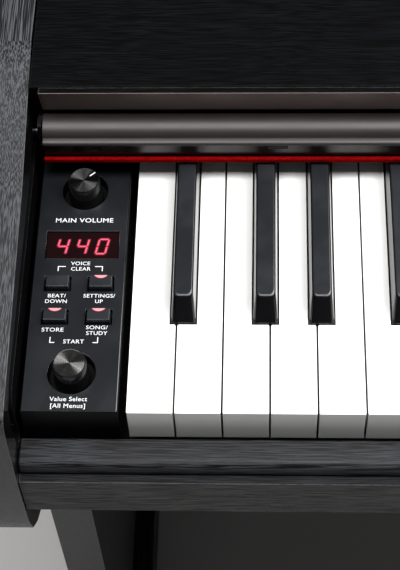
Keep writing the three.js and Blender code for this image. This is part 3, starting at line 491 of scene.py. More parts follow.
# %% Helpers for shapes
NEAR = 0.01 * MM


def round_edges(shape, edges, width, segments=3):
    bmesh.ops.bevel(
        shape, geom=list(edges), offset=width, offset_type="OFFSET", segments=segments,
        profile=0.5, affect="EDGES", clamp_overlap=True, material=-1,
    )


def sharp_edges(shape, least=28):
    """Edges where two faces meet at more than an angle."""
    limit = math.radians(least)
    return [e for e in shape.edges if len(e.link_faces) == 2 and e.calc_face_angle() > limit]


def cube(shape, size, middle=(0, 0, 0)):
    """Adds a block to a shape and returns its corners."""
    new = bmesh.ops.create_cube(shape, size=1)["verts"]
    bmesh.ops.scale(shape, vec=size, verts=new)
    bmesh.ops.translate(shape, vec=middle, verts=new)
    return new


def cut(shape, place, way, **settings):
    """Cuts a shape along a plane through a place."""
    whole = shape.verts[:] + shape.edges[:] + shape.faces[:]
    bmesh.ops.bisect_plane(shape, geom=whole, plane_co=place, plane_no=way, **settings)


def push(shape, faces, way, keep=False):
    """Extrudes faces by a vector. The faces that it starts from go, unless they are kept."""
    grown = bmesh.ops.extrude_face_region(shape, geom=faces)
    moved = [v for v in grown["geom"] if isinstance(v, bmesh.types.BMVert)]
    bmesh.ops.translate(shape, verts=moved, vec=way)
    if not keep:
        bmesh.ops.delete(shape, geom=faces, context="FACES_ONLY")


def lathe(shape, outline, centre, axis, steps, closed=False):
    """Adds an outline turned once about an axis. A closed one joins its last point to its first."""
    points = [shape.verts.new(point) for point in outline]
    pairs = list(zip(points, points[1:]))
    if closed:
        pairs.append((points[-1], points[0]))
    lines = [shape.edges.new(pair) for pair in pairs]
    bmesh.ops.spin(
        shape, geom=points + lines, cent=centre, axis=axis, angle=math.tau, steps=steps,
        use_merge=True,
    )
    bmesh.ops.remove_doubles(shape, verts=shape.verts, dist=2e-6)


print("places closer than", NEAR / MM, "mm count as the same")

# %% [markdown]
# Many pieces have the right shape in the design and only lack soft edges. Their mesh is loose
# triangles, so a copy is merged and its flat faces are made whole before the edges are rounded.
# The design's record says which body a node rides on and which slot its finish takes.

# %% Helpers for copies of the design
def copy_node(node):
    """The merged shape of a CAD node, with its flat faces whole."""
    shape = bmesh.new()
    shape.from_mesh(frame["nodes"][node].data)
    bmesh.ops.remove_doubles(shape, verts=shape.verts, dist=NEAR)
    bmesh.ops.dissolve_limit(
        shape, angle_limit=math.radians(0.4), verts=shape.verts, edges=shape.edges,
    )
    return shape


BODY_OF = {
    node: body
    for body, members in frame["record"]["behaviour"]["bodies"].items()
    for node in members
}
SLOT_OF = {part["node"]: part["material_slot"] for part in frame["record"]["subparts"]}


def soften_node(node, width, segments=3, material=None, least=28):
    """A CAD node with its edges rounded, which then stands for the node."""
    shape = copy_node(node)
    round_edges(shape, sharp_edges(shape, least), width, segments)
    return make_piece(
        node + "_fine", shape, BODY_OF[node], SLOT_OF[node], material, node, weighted=True,
    )


print("bodies:", len(set(BODY_OF.values())), "slots:", len(set(SLOT_OF.values())))

# %% [markdown]
# ## Cabinet
# The boards are veneered panels with softly rounded edges. Their shape is right in the design, so
# each is copied and its edges are rounded, as a router does. The grain runs along the board.

# %% Boards
BOARDS = {
    "left_foot": ("Y", 2.0), "right_foot": ("Y", 2.0),
    # The top panel and the key bed take darker copies of the ash, which paint in shade.
    "top_panel": ("top", 1.0), "rear_panel": ("X", 0.8),
    "key_bed": ("bed", 1.5), "key_slip": ("X", 1.2),
    "key_cover": ("X", 0.6), "music_rest": ("X", 1.5), "music_rest_lip": ("X", 1.2),
    "stand_rail": ("X", 2.0), "stand_panel": ("X", 0.8), "pedal_box": ("X", 1.5),
}
for node, (grain_axis, width) in BOARDS.items():
    soften_node(node, width * MM, material=ASH[grain_axis])
print("boards:", len(BOARDS))

# %% [markdown]
# ## Keys
# All 88 keys follow from a few sizes in millimetres and from the order of the notes. The ten
# lowest keys have bodies of their own. The others share the bodies of four banks, but each is a
# piece.

# %% Sizes of the keys
WHITE_HEAD = 50.0
WHITE_DEPTH = 22.0
WHITE_END = 200.0
BLACK_WIDTH = 12.7
BLACK_TOP_WIDTH = 9.9
BLACK_HEIGHT = 12.0
BLACK_NOSE = 9.3
BLACK_START = 50.5
BLACK_CROWN_END = 155.0
BLACK_STEM = 11.0
BLACK_SPACE = 0.6
PITCH_MM = PITCH / MM
LETTERS = "ABCDEFG"
# Middle of a black key from the gap between its white neighbours, by the lower one's letter
BLACK_SHIFT = {"A": 3.36, "C": -2.35, "D": 2.35, "F": -3.36, "G": 0.0}


def note(index):
    """Name of a white key, such as a0 or c1."""
    return LETTERS[index % 7].lower() + str((index + 5) // 7)


def black_after(index):
    """Middle of the black key after a white key in millimetres, or None."""
    shift = BLACK_SHIFT.get(LETTERS[index % 7])
    if shift is None or index < 0 or index >= WHITE_COUNT - 1:
        return None
    return (index + 1) * PITCH_MM + shift


def key_node(index, color):
    """CAD node that holds a key: its own, or one of the banks."""
    single = "key_" + note(index) + ("_sharp" if color == "black" else "")
    if single in frame["nodes"]:
        return single
    return color + ("_bank_low" if index < 29 else "_bank_high")


print("first keys:", [note(i) for i in range(4)], "last key:", note(WHITE_COUNT - 1))

# %% [markdown]
# A white key is one moulding: a wide head, and a narrow tail that passes between the black keys.
# Its outline has at most eight corners, which are drawn and then extruded down. The front wall
# reaches lower than the rest, as a thin lip. The shoulders beside a black key are rounded in
# plan, the front edge is rounded more than the sides, and the rear end carries a hinge tang.

# %% White keys
LIP_DEPTH = 3.6
LIP_BACK = 1.5
TANG_INSET = 1.5
TANG_LENGTH = 15.0
SHOULDER_ROUND = 0.9
CORNER_ROUND = 0.7
FRONT_ROUND = 0.5
RIM_ROUND = 0.3


def outline_left(index):
    return KEYS_LEFT + index * PITCH + KEY_GAP / 2


def outline_right(index):
    return outline_left(index) + PITCH - KEY_GAP


def white_corners(index):
    left = index * PITCH_MM + KEY_GAP / MM / 2
    right = left + PITCH_MM - KEY_GAP / MM
    half = BLACK_WIDTH / 2 + BLACK_SPACE
    before = black_after(index - 1)
    after = black_after(index)
    tail_left = left if before is None else before + half
    tail_right = right if after is None else after - half
    corners = [(left, 0), (right, 0)]
    if after is not None:
        corners += [(right, WHITE_HEAD), (tail_right, WHITE_HEAD)]
    corners += [(tail_right, WHITE_END), (tail_left, WHITE_END)]
    if before is not None:
        corners += [(tail_left, WHITE_HEAD), (left, WHITE_HEAD)]
    return corners


def upright_edges(shape, y):
    """Upright edges at a distance behind the keys' front."""
    place = KEY_FRONT + y * MM
    return [
        e for e in shape.edges
        if all(abs(v.co.y - place) < NEAR for v in e.verts)
        and abs(e.verts[0].co.z - e.verts[1].co.z) > 0.01
    ]


def white_key(index):
    shape = bmesh.new()
    outline = [shape.verts.new(spot(x, y, 0)) for x, y in white_corners(index)]
    top = shape.faces.new(outline)
    push(shape, [top], (0, 0, -WHITE_DEPTH * MM), keep=True)
    bmesh.ops.recalc_face_normals(shape, faces=shape.faces)
    bottom = min(shape.faces, key=lambda f: f.calc_center_median().z)
    bmesh.ops.bisect_plane(
        shape, geom=[bottom] + list(bottom.edges) + list(bottom.verts),
        plane_co=spot(0, LIP_BACK, 0), plane_no=(0, 1, 0),
    )
    lip = [
        f for f in shape.faces
        if f.normal.z < -0.9 and f.calc_center_median().y < KEY_FRONT + LIP_BACK * MM
    ]
    push(shape, lip, (0, 0, -LIP_DEPTH * MM))
    tail_end = max(shape.faces, key=lambda f: f.calc_center_median().y)
    bmesh.ops.inset_region(shape, faces=[tail_end], thickness=TANG_INSET * MM)
    push(shape, [tail_end], (0, TANG_LENGTH * MM, 0))
    sides = (outline_left(index), outline_right(index))
    shoulders = [
        e for e in upright_edges(shape, WHITE_HEAD)
        if min(abs(e.verts[0].co.x - x) for x in sides) < NEAR
    ]
    round_edges(shape, shoulders, SHOULDER_ROUND * MM, 3)
    round_edges(shape, upright_edges(shape, 0), CORNER_ROUND * MM, 3)
    near_front = KEY_FRONT + (CORNER_ROUND + 0.1) * MM
    rim = [
        e for e in sharp_edges(shape)
        if all(abs(v.co.z - KEY_TOP) < NEAR for v in e.verts)
        and any(v.co.y >= near_front for v in e.verts)
    ]
    round_edges(shape, rim, RIM_ROUND * MM, 2)
    front = [
        e for e in sharp_edges(shape)
        if all(v.co.y < near_front and v.co.z > KEY_TOP - 0.5 * MM for v in e.verts)
    ]
    round_edges(shape, front, FRONT_ROUND * MM, 3)
    node = key_node(index, "white")
    name = "white_" + note(index)
    return make_piece(name, shape, BODY_OF[node], "ivory_white", node=node, weighted=True)


whites = [white_key(index) for index in range(WHITE_COUNT)]
print("white keys:", len(whites), "faces each:", len(whites[0].data.polygons))

# %% [markdown]
# A black key is narrower at its top than at its base, and its front slopes back. Its moulding is
# rounded in plan at the two front corners, so the top ends in a soft U that catches the light.
# The shape starts as a cube. Its top is drawn in, the upright front corners are rounded first,
# and then the whole rim of the top. Two cuts leave a straight foot just above the white keys. The
# top is satin, and the sides and the slope are polished and also darker than the top, which is
# painted shade.

# %% Black keys
BLACK_END = WHITE_END + 2.5
FOOT_LEVELS = (0.1, 1.0)
SLOPE_ROUND = 3.2
CROWN_ROUND = 1.15
# A polished black that is also darker than the key's top: the extra darkness is painted shade.
POLISHED_AND_SHADED_BLACK = hard_surface(
    "polished key sides, darker as painted shade", (0.003, 0.003, 0.0035), 0.10, 0.02, relief=0.000004,
)


def black_key(index):
    half = BLACK_TOP_WIDTH / 2 * MM
    middle = spot(
        black_after(index), (BLACK_START + BLACK_CROWN_END) / 2, (BLACK_HEIGHT - BLACK_STEM) / 2,
    )
    size = (BLACK_WIDTH, BLACK_CROWN_END - BLACK_START, BLACK_HEIGHT + BLACK_STEM)
    shape = bmesh.new()
    cube(shape, Vector(size) * MM, middle)
    for z in FOOT_LEVELS:
        cut(shape, spot(0, 0, z), (0, 0, 1))
    tail = [
        f for f in shape.faces
        if f.normal.y > 0.9 and f.calc_center_median().z < KEY_TOP
    ]
    push(shape, tail, (0, (BLACK_END - BLACK_CROWN_END) * MM, 0))
    tops = [v for v in shape.verts if v.co.z > KEY_TOP + (BLACK_HEIGHT - 0.1) * MM]
    for vert in tops:
        vert.co.x = middle.x + (half if vert.co.x > middle.x else -half)
        if vert.co.y < middle.y:
            vert.co.y += BLACK_NOSE * MM
    slopes = [
        e for e in shape.edges
        if max(v.co.z for v in e.verts) > KEY_TOP + (BLACK_HEIGHT - 0.1) * MM
        and min(v.co.z for v in e.verts) < KEY_TOP + 2 * MM
        and min(v.co.y for v in e.verts) < middle.y
    ]
    round_edges(shape, slopes, SLOPE_ROUND * MM, 8)
    high = KEY_TOP + (BLACK_HEIGHT - 0.05) * MM
    rim = [e for e in sharp_edges(shape) if all(v.co.z > high for v in e.verts)]
    round_edges(shape, rim, CROWN_ROUND * MM, 5)
    foot = [
        e for e in sharp_edges(shape, 20)
        if all(v.co.z < KEY_TOP + 2 * MM and v.co.z > KEY_TOP + 0.5 * MM for v in e.verts)
    ]
    round_edges(shape, foot, 0.2 * MM, 1)
    # Sides and slope take the polished finish, whose darker colour is painted shade.
    for face in shape.faces:
        polished = abs(face.normal.x) > 0.6 or face.normal.y < -0.5
        face.material_index = 1 if polished else 0
    node = key_node(index, "black")
    piece = make_piece(
        "black_" + note(index) + "_sharp", shape, BODY_OF[node], "key_black", node=node,
        sharp=math.radians(50), weighted=True,
    )
    piece.data.materials.append(POLISHED_AND_SHADED_BLACK)
    return piece


blacks = [black_key(index) for index in range(WHITE_COUNT) if black_after(index) is not None]
print("black keys:", len(blacks), "faces each:", len(blacks[0].data.polygons))

# %% [markdown]
# ## Control panel
# The bass end block carries the controls. Its top is a satin charcoal skin and its walls are
# glossy. Its holes take a darker, dull black, which is painted shade, so the copy of the design
# gets three finishes, by the place and the direction of its faces. Its outer edges are rounded more
# than the edges of its holes.

# %% End blocks
def outer_edges(shape, low, high):
    """Sharp edges that lie on two sides of a box, which are its outer corners."""
    found = []
    for edge in sharp_edges(shape):
        middle = (edge.verts[0].co + edge.verts[1].co) / 2
        on_sides = sum(
            1 for axis in range(3)
            if min(abs(middle[axis] - low[axis]), abs(middle[axis] - high[axis])) < NEAR
        )
        if on_sides >= 2:
            found.append(edge)
    return found


block_low, block_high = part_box("left_end_block")
PANEL_TOP = block_high.z
BLOCK_WALL = 3 * MM
WELL_DEPTH = 11 * MM
HOLE_ROUND = 0.22 * MM
SIDE_ROUND = 1.1 * MM
CORNER_SOFT = 0.25 * MM
# The wells' darker colour is painted shade in the recesses.
WELL_SHADE_BLACK = hard_surface(
    "wells darkened as painted shade", (0.0015, 0.0015, 0.0016), 0.6, 0.05, Specular_IOR_Level=0.15,
)


def block_finish(face, top):
    """0 for the satin top, 1 for the glossy walls, 2 for the walls and floors of the holes, darkened as
    painted shade.
    """
    place = face.calc_center_median()
    in_well = top - WELL_DEPTH < place.z < top - 0.3 * MM
    if in_well and BLOCK_WALL - block_high.x < abs(place.x) < -block_low.x - BLOCK_WALL:
        return 2
    if place.z > top - 1.2 * MM and face.normal.z > 0.25 and abs(face.normal.x) < 0.3:
        return 0
    return 1


def end_block(node):
    low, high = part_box(node)
    shape = copy_node(node)
    holes = [e for e in sharp_edges(shape) if all(abs(v.co.z - high.z) < NEAR for v in e.verts)]
    outer = outer_edges(shape, low, high)
    round_edges(shape, [e for e in holes if e not in outer], HOLE_ROUND, 2)
    sides = [
        e for e in outer_edges(shape, low, high)
        if abs(e.verts[0].co.z - high.z) < NEAR and abs(e.verts[1].co.z - high.z) < NEAR
        and abs(e.verts[0].co.x - e.verts[1].co.x) < NEAR
    ]
    round_edges(shape, sides, SIDE_ROUND, 5)
    round_edges(shape, outer_edges(shape, low, high), CORNER_SOFT, 2)
    for face in shape.faces:
        face.material_index = block_finish(face, high.z)
    piece = make_piece(node + "_fine", shape, "cabinet", "panel_black", node=node, weighted=True)
    piece.data.materials.append(FINISH["gloss_black"])
    piece.data.materials.append(WELL_SHADE_BLACK)
    return piece


for node in ("left_end_block", "right_end_block"):
    end_block(node)
print("panel width", round((block_high.x - block_low.x) / MM, 1), "mm")

# %% [markdown]
# A knob has a glossy black skirt and a spun metal cap let into its top. The lathe leaves fine
# rings on the cap. Each ring is a real ridge here, and together they give the two opposite
# wedges of light that turned metal shows. Both parts are profiles that are spun once round.

# %% Knobs
def spun(profile, x, y, z, steps=64):
    """A closed shape turned about an upright axis, from (radius, height) points in millimetres."""
    shape = bmesh.new()
    outline = [(x + r * MM, y, z + h * MM) for r, h in profile]
    lathe(shape, outline, (x, y, z), (0, 0, 1), steps)
    bmesh.ops.recalc_face_normals(shape, faces=shape.faces)
    return shape


RING_PITCH = 0.40
RING_HEIGHT = 0.10
CAP_RADIUS = 7.9


def cap_profile(top):
    """A thin disc whose upper face is a row of fine rings with straight flanks."""
    steps = int((CAP_RADIUS - 0.3) / RING_PITCH * 2)
    rings = [
        (step * RING_PITCH / 2, top - (RING_HEIGHT if step % 2 else 0))
        for step in range(steps, 0, -1)
    ]
    rim = [(0, top - 0.5), (CAP_RADIUS, top - 0.5), (CAP_RADIUS, top - 0.15), (CAP_RADIUS - 0.15, top)]
    return rim + rings + [(0, top - 0.05)]


def knob(node, cap_color):
    low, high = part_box(node)
    x, y = (low.x + high.x) / 2, (low.y + high.y) / 2
    foot = (low.z - PANEL_TOP) / MM
    top = (high.z - PANEL_TOP) / MM
    wide = (high.x - low.x) / 2 / MM
    skirt = [
        (0, foot), (wide, foot), (wide - 0.1, foot + 0.5), (8.45, top - 2.4), (8.3, top - 0.8),
        (8.2, top - 0.35), (8.05, top - 0.12), (CAP_RADIUS + 0.03, top - 0.12),
        (CAP_RADIUS + 0.03, top - 0.45), (0, top - 0.45),
    ]
    make_piece(node + "_skirt", spun(skirt, x, y, PANEL_TOP), node, "knob_black", node=node)
    metal = hard_surface(
        node + " cap metal", cap_color, 0.22, 0.02, relief=0.000002, metal=0.8, vary=0.04,
    )
    cap = spun(cap_profile(top - 0.02), x, y, PANEL_TOP, 90)
    make_piece(node + "_cap", cap, node, "steel", metal)
    return x, y, top


knob("data_knob", (0.036, 0.0355, 0.0345))
volume_x, volume_y, volume_top = knob("volume_knob", (0.007, 0.0073, 0.007))
print("knob caps have", round(CAP_RADIUS / RING_PITCH), "rings")

# %% [markdown]
# The volume knob has a painted pointer. A thin cube is scaled to a bar, its ends are rounded,
# and it is turned about the knob's axis.

# %% Pointer of the volume knob
LEGEND_WHITE = hard_surface(
    "white legend ink", (0.66, 0.67, 0.68), 0.45, 0.05, relief=0.00001, vary=0.03,
)
POINTER_TURN = math.radians(41)
POINTER_REACH = 5.8
pointer = bmesh.new()
cube(pointer, (3.7 * MM, 0.62 * MM, 0.12 * MM))
upright = [e for e in pointer.edges if abs(e.verts[0].co.z - e.verts[1].co.z) > NEAR]
round_edges(pointer, upright, 0.2 * MM, 2)
turn = Matrix.Rotation(POINTER_TURN, 3, "Z")
bmesh.ops.translate(pointer, vec=(POINTER_REACH * MM, 0, 0), verts=pointer.verts)
bmesh.ops.rotate(pointer, cent=(0, 0, 0), matrix=turn, verts=pointer.verts)
bmesh.ops.translate(
    pointer, vec=(volume_x, volume_y, PANEL_TOP + (volume_top + 0.02) * MM), verts=pointer.verts,
)
make_piece("volume_knob_pointer", pointer, "volume_knob", "ivory_white", LEGEND_WHITE)
print("pointer at", round(math.degrees(POINTER_TURN)), "degrees")

# %% [markdown]
# Lit parts are made of clear plastic with a lamp behind. The light is brightest in the middle
# and turns deep red at the rim. The piece carries a value from 0 at its rim to 1 inside, and the
# emission follows it.

# %% Finish: lamp light
def lamp_light(name, rim, core, strength):
    material, tree, shader = start_material(name)
    value = add_node(tree, "Attribute", attribute_name="glow")
    mask = remap(tree, value.outputs["Fac"], 0, 1, 0, 1)
    tree.links.new(blend_colors(tree, mask, rim, core), shader.inputs["Emission Color"])
    shader.inputs["Emission Strength"].default_value = strength
    shader.inputs["Base Color"].default_value = (0.05, 0.005, 0.008, 1)
    shader.inputs["Roughness"].default_value = 0.3
    return material


CRESCENT_LIGHT = lamp_light("crescent light", (0.80, 0.02, 0.06), (1.0, 0.50, 0.55), 1.05)
DIGIT_LIGHT = lamp_light("digit light", (1.0, 0.02, 0.09), (1.0, 0.17, 0.29), 1.1)
HALO_LIGHT = lamp_light("digit halo", (0.013, 0.001, 0.001), (0.30, 0.004, 0.012), 1.0)


def mark_glow(shape, inside):
    """Stores 1 on the given vertices. The layer must be made before the shape has vertices."""
    layer = shape.verts.layers.float["glow"]
    for vert in inside:
        vert[layer] = 1.0


print("lamp finishes ready")

# %% [markdown]
# The buttons are small caps with soft edges. Three of them show a lit crescent at the rear of
# their face: a disc cut off by a plane, then inset so that its middle can glow.

# %% Buttons
CRESCENT_WIDTH = 7.1
CRESCENT_DEPTH = 1.8
CRESCENT_RIM = 0.4
CRESCENT_INSET = 0.42
CRESCENT_THICK = 0.1


def crescent(node):
    low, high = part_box(node)
    radius = ((CRESCENT_WIDTH / 2) ** 2 + CRESCENT_DEPTH ** 2) / (2 * CRESCENT_DEPTH)
    rear = high.y - CRESCENT_INSET * MM
    back = rear + (radius - CRESCENT_DEPTH) * MM
    middle = Vector(((low.x + high.x) / 2, back, high.z + 0.015 * MM))
    shape = bmesh.new()
    shape.verts.layers.float.new("glow")
    bmesh.ops.create_circle(shape, cap_ends=True, segments=64, radius=radius * MM)
    bmesh.ops.translate(shape, vec=middle, verts=shape.verts)
    cut(shape, (0, rear, 0), (0, 1, 0), clear_outer=True)
    bmesh.ops.inset_region(
        shape, faces=shape.faces[:], thickness=CRESCENT_RIM * MM, use_boundary=True,
        use_even_offset=True,
    )
    inner = max(shape.faces, key=lambda f: len(f.verts))
    mark_glow(shape, set(inner.verts))
    push(shape, shape.faces[:], (0, 0, -CRESCENT_THICK * MM), keep=True)
    bmesh.ops.recalc_face_normals(shape, faces=shape.faces)
    make_piece(node + "_crescent", shape, node, "display_red", CRESCENT_LIGHT)


BUTTONS = ("reset_button", "sound_button", "record_button", "demo_button", "power_button")
for node in BUTTONS:
    soften_node(node, 0.4 * MM, 3, least=20)
for node in ("sound_button", "record_button", "demo_button"):
    crescent(node)
print("buttons:", len(BUTTONS))

# %% [markdown]
# The display is a dark red window over a three-figure module. Each figure has seven bars. A bar
# is a flat block with rounded ends, and the whole figure leans a little. A wider, dimmer copy
# under each bar is the halo that the light makes in the red plastic.

# %% Display
soften_node("display_window", 0.15 * MM, 2)
window_low, window_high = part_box("display_window")
FIGURE_WIDTH = 4.9
FIGURE_HEIGHT = 8.9
FIGURE_PITCH = 10.3
FIGURE_LEAN = 0.20
FIGURE_LEFT = 13.6
FIGURE_FOOT = 3.2
BARS = {
    "a": (0, 1, True), "b": (1, 0.75, False), "c": (1, 0.25, False), "d": (0, 0, True),
    "e": (0, 0.25, False), "f": (0, 0.75, False), "g": (0, 0.5, True),
}
FIGURES = {"0": "abcdef", "4": "fgbc"}


def bar(figure, x, y, level, flat, width, height):
    """Adds one bar of a figure to a bmesh."""
    length = (FIGURE_WIDTH if flat else FIGURE_HEIGHT / 2) - 0.35
    size = (length + width - 1, width) if flat else (width, length + width - 1)
    cube(figure, Vector((*size, height)) * MM, Vector((x, y, level)) * MM)


def figure_shape(text, width, level):
    shape = bmesh.new()
    shape.verts.layers.float.new("glow")
    for place, sign in enumerate(text):
        for name in FIGURES[sign]:
            across, up, flat = BARS[name]
            x = place * FIGURE_PITCH + (FIGURE_WIDTH / 2 if flat else across * FIGURE_WIDTH)
            bar(shape, x, up * FIGURE_HEIGHT, level, flat, width, 0.06)
    upright = [e for e in shape.edges if abs(e.verts[0].co.z - e.verts[1].co.z) > NEAR]
    round_edges(shape, upright, width * 0.32 * MM, 2)
    bmesh.ops.transform(
        shape, matrix=Matrix(((1, FIGURE_LEAN, 0), (0, 1, 0), (0, 0, 1))), verts=shape.verts,
    )
    caps = [f for f in shape.faces if f.normal.z > 0.9]
    bmesh.ops.inset_individual(shape, faces=caps, thickness=width * 0.22 * MM)
    mark_glow(shape, {v for f in caps for v in f.verts})
    window_middle = (window_low.x + window_high.x) / 2
    left = window_middle - FIGURE_LEFT * MM
    start = Vector((left, window_low.y + FIGURE_FOOT * MM, window_high.z))
    bmesh.ops.translate(shape, vec=start, verts=shape.verts)
    return shape


make_piece("display_halo", figure_shape("440", 1.9, 0.0), "cabinet", "display_red", HALO_LIGHT)
make_piece("display_figures", figure_shape("440", 0.86, 0.05), "cabinet", "display_red", DIGIT_LIGHT)
print("display shows three figures")

# %% [markdown]
# The legends are printed. Each is a line of plain text, set bold by a small offset, turned into
# a mesh and then moved onto the panel. The words only say what a control does. Thin bars make
# the brackets that join two buttons.

# %% Legends
BOLDER = 0.006


def text_mesh(text, height):
    """Flat letters centred on the origin, with capitals of the given height in millimetres."""
    curve = bpy.data.curves.new("letters", "FONT")
    curve.body = text
    curve.align_x = "CENTER"
    curve.align_y = "CENTER"
    curve.size = height * MM / 0.70
    curve.offset = BOLDER * height * MM
    curve.space_character = 1.06
    curve.resolution_u = 4
    holder = bpy.data.objects.new("letters", curve)
    bpy.context.scene.collection.objects.link(holder)
    bpy.context.view_layer.update()
    mesh = bpy.data.meshes.new_from_object(holder)
    bpy.data.objects.remove(holder)
    return mesh


def add_text(shape, text, x, y, height, width=1.0, level=0.02):
    """Adds a line of text to a bmesh. A width other than 1 stretches it sideways."""
    mesh = text_mesh(text, height)
    mesh.transform(Matrix.Diagonal((width, 1, 1, 1)))
    mesh.transform(Matrix.Translation((x, y, PANEL_TOP + level * MM)))
    shape.from_mesh(mesh)
    bpy.data.meshes.remove(mesh)


def add_bar(shape, x0, y0, x1, y1):
    """Adds a flat bar between two corners, in millimetres from the keyboard's left end."""
    low, high = spot(x0, y0, 0), spot(x1, y1, 0)
    corners = [(low.x, low.y), (high.x, low.y), (high.x, high.y), (low.x, high.y)]
    shape.faces.new([shape.verts.new((x, y, PANEL_TOP + 0.02 * MM)) for x, y in corners])


# Words, place of their middle from the keyboard's corner, height and width
LINES = [
    ("MAIN VOLUME", -26.8, 112.0, 2.65, 1.16),
    ("VOICE", -27.0, 85.2, 2.1, 1.1), ("CLEAR", -26.8, 81.9, 2.1, 1.1),
    ("BEAT/", -38.0, 65.7, 2.1, 1.15), ("DOWN", -38.1, 62.4, 2.1, 1.1),
    ("SETTINGS/", -16.3, 65.7, 2.1, 1.1), ("UP", -16.3, 62.4, 2.1, 1.1),
    ("STORE", -38.6, 45.7, 2.2, 1.15),
    ("SONG/", -16.4, 47.1, 2.1, 1.15), ("STUDY", -16.3, 43.8, 2.1, 1.1),
    ("START", -27.6, 38.9, 2.2, 1.1),
    ("Value Select", -27.9, 6.6, 2.35, 1.05), ("[All Menus]", -28.0, 2.9, 2.35, 1.05),
]
BRACKETS = [
    (-38.6, 83.2, -34.6, 83.65), (-38.6, 80.7, -38.15, 83.2),
    (-19.4, 83.2, -15.4, 83.65), (-15.85, 80.7, -15.4, 83.2),
    (-39.7, 38.2, -37.2, 38.65), (-39.7, 38.65, -39.25, 41.6),
    (-18.0, 38.2, -15.3, 38.65), (-15.75, 38.65, -15.3, 41.6),
]
legends = bmesh.new()
for text, x, y, height, width in LINES:
    place = spot(x, y, 0)
    add_text(legends, text, place.x, place.y, height, width)
for corners in BRACKETS:
    add_bar(legends, *corners)
power_low, power_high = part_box("power_button")
add_text(legends, "POWER", (power_low.x + power_high.x) / 2, power_low.y - 4 * MM, 1.85, 1.15)
bmesh.ops.recalc_face_normals(legends, faces=legends.faces)
for face in legends.faces:
    if face.normal.z < 0:
        face.normal_flip()
make_piece("panel_legends", legends, "cabinet", "ivory_white", LEGEND_WHITE)
print("legends:", len(LINES) + 1)

# %% [markdown]
# ## Key cover, trim, fallboard and felt
# The cover's front rail and the trim over it are drawn aluminium sections, anodised a dark
# brown. The glossy fallboard stands behind the keys, and the red felt strip lies along its foot.
# All are long sections, so their shape comes from the design and only the edges are broken.

# %% Rail, fallboard and felt
FALL_GLOSS = hard_surface(
    "fallboard lacquer", (0.003, 0.003, 0.0033), 0.24, 0.03, relief=0.000004,
)
PIN_STEEL = hard_surface("blackened steel", (0.05, 0.05, 0.053), 0.25, 0.05, metal=1.0)
SECTIONS = {
    "cover_rail": (0.15, None), "fallboard": (0.3, FALL_GLOSS), "felt_strip": (0.7, None),
    "left_cover_pin": (0.5, PIN_STEEL), "right_cover_pin": (0.5, PIN_STEEL),
}
for node, (width, finish) in SECTIONS.items():
    soften_node(node, width * MM, 3, material=finish)
print("sections:", len(SECTIONS))

# %% [markdown]
# The trim's flat top carries a strip of the same veneer as the top panel, so from above the
# metal shows only as a thin bright edge. The faces that look up take the veneer, in its darker
# copy whose darkness is painted shade.

# %% Trim
def finish_by_faces(piece, material, test):
    """Gives a second finish to the faces that pass a test."""
    piece.data.materials.append(material)
    for face in piece.data.polygons:
        if test(face):
            face.material_index = 1


# A lighter copy of the rail's brown anodising: the extra brightness is painted light.
TRIM_BROWN_LIGHTENED = hard_surface(
    "brown trim, lighter as painted light", (0.115, 0.084, 0.077), 0.36, 0.02, BRUSHED_X, 0.000004, 0.2, 0.03,
)
trim = soften_node("top_trim", 0.3 * MM, 3, material=TRIM_BROWN_LIGHTENED)
trim_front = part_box("top_trim")[0].y
trim_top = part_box("top_trim")[1].z
finish_by_faces(
    trim, ASH["top"],
    lambda face: face.center.z > trim_top - 0.35 * MM and face.center.y > trim_front + 0.7 * MM,
)
print("veneered faces of the trim:", sum(1 for f in trim.data.polygons if f.material_index == 1))

# %% [markdown]
# The side panels are veneered too, but the inner faces of their arms are lacquered to a high
# gloss, so they mirror the felt and the panel. A cut at the key bed's level parts the two
# finishes, and the gloss runs over the rounded edge of the arm and into the pin's groove.

# %% Side panels
PANEL_ROUND = 1.2
GROOVE_DEPTH = 6.0
END_MARGIN = 10.0


def side_panel(node, way):
    """A side panel. The inner face looks along X when way is 1, and against X when it is -1."""
    low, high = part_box(node)
    inside = high.x if way > 0 else low.x
    bed_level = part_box("key_bed")[0].z
    shape = copy_node(node)
    round_edges(shape, sharp_edges(shape), PANEL_ROUND * MM, 3)
    cut(shape, (0, 0, bed_level), (0, 0, 1))
    for face in shape.faces:
        place = face.calc_center_median()
        depth = abs(place.x - inside)
        inner = face.normal.x * way > 0.35 and depth < (PANEL_ROUND + 0.3) * MM
        sunk = (PANEL_ROUND + 0.1) * MM < depth < GROOVE_DEPTH * MM
        groove = sunk and low.y + END_MARGIN * MM < place.y < high.y - END_MARGIN * MM
        face.material_index = 1 if (inner or groove) and place.z > bed_level else 0
    panel = make_piece(node + "_fine", shape, "cabinet", "woodgrain", ASH["Y"], node, weighted=True)
    panel.data.materials.append(FINISH["gloss_black"])


side_panel("left_side_panel", 1)
side_panel("right_side_panel", -1)
print("side panels have two finishes")

# %% [markdown]
# A small bumper under the rail keeps it off the fallboard. It is a block with rounded edges.

# %% Bumpers under the rail
def rail_bumper(side, x):
    low, high = spot(x, 142.7, 22.5), spot(x + BUMPER_WIDTH, 144.1, 24.9)
    shape = bmesh.new()
    cube(shape, high - low, (low + high) / 2)
    round_edges(shape, shape.edges[:], 0.3 * MM, 2)
    make_piece(side + "_rail_bumper", shape, "key_cover", "rubber", weighted=True)


BUMPER_WIDTH = 10.4
BUMPER_INSET = 69.2
rail_bumper("left", BUMPER_INSET)
rail_bumper("right", WHITE_COUNT * PITCH_MM - BUMPER_INSET - BUMPER_WIDTH)
print("bumpers under the rail: 2")

# %% [markdown]
# ## Music rest, sockets, speakers and pedals
# The rest of the object follows the same way. Small parts keep the shape of the design with
# their edges rounded, and the parts that a hand or foot touches get a larger rounding.

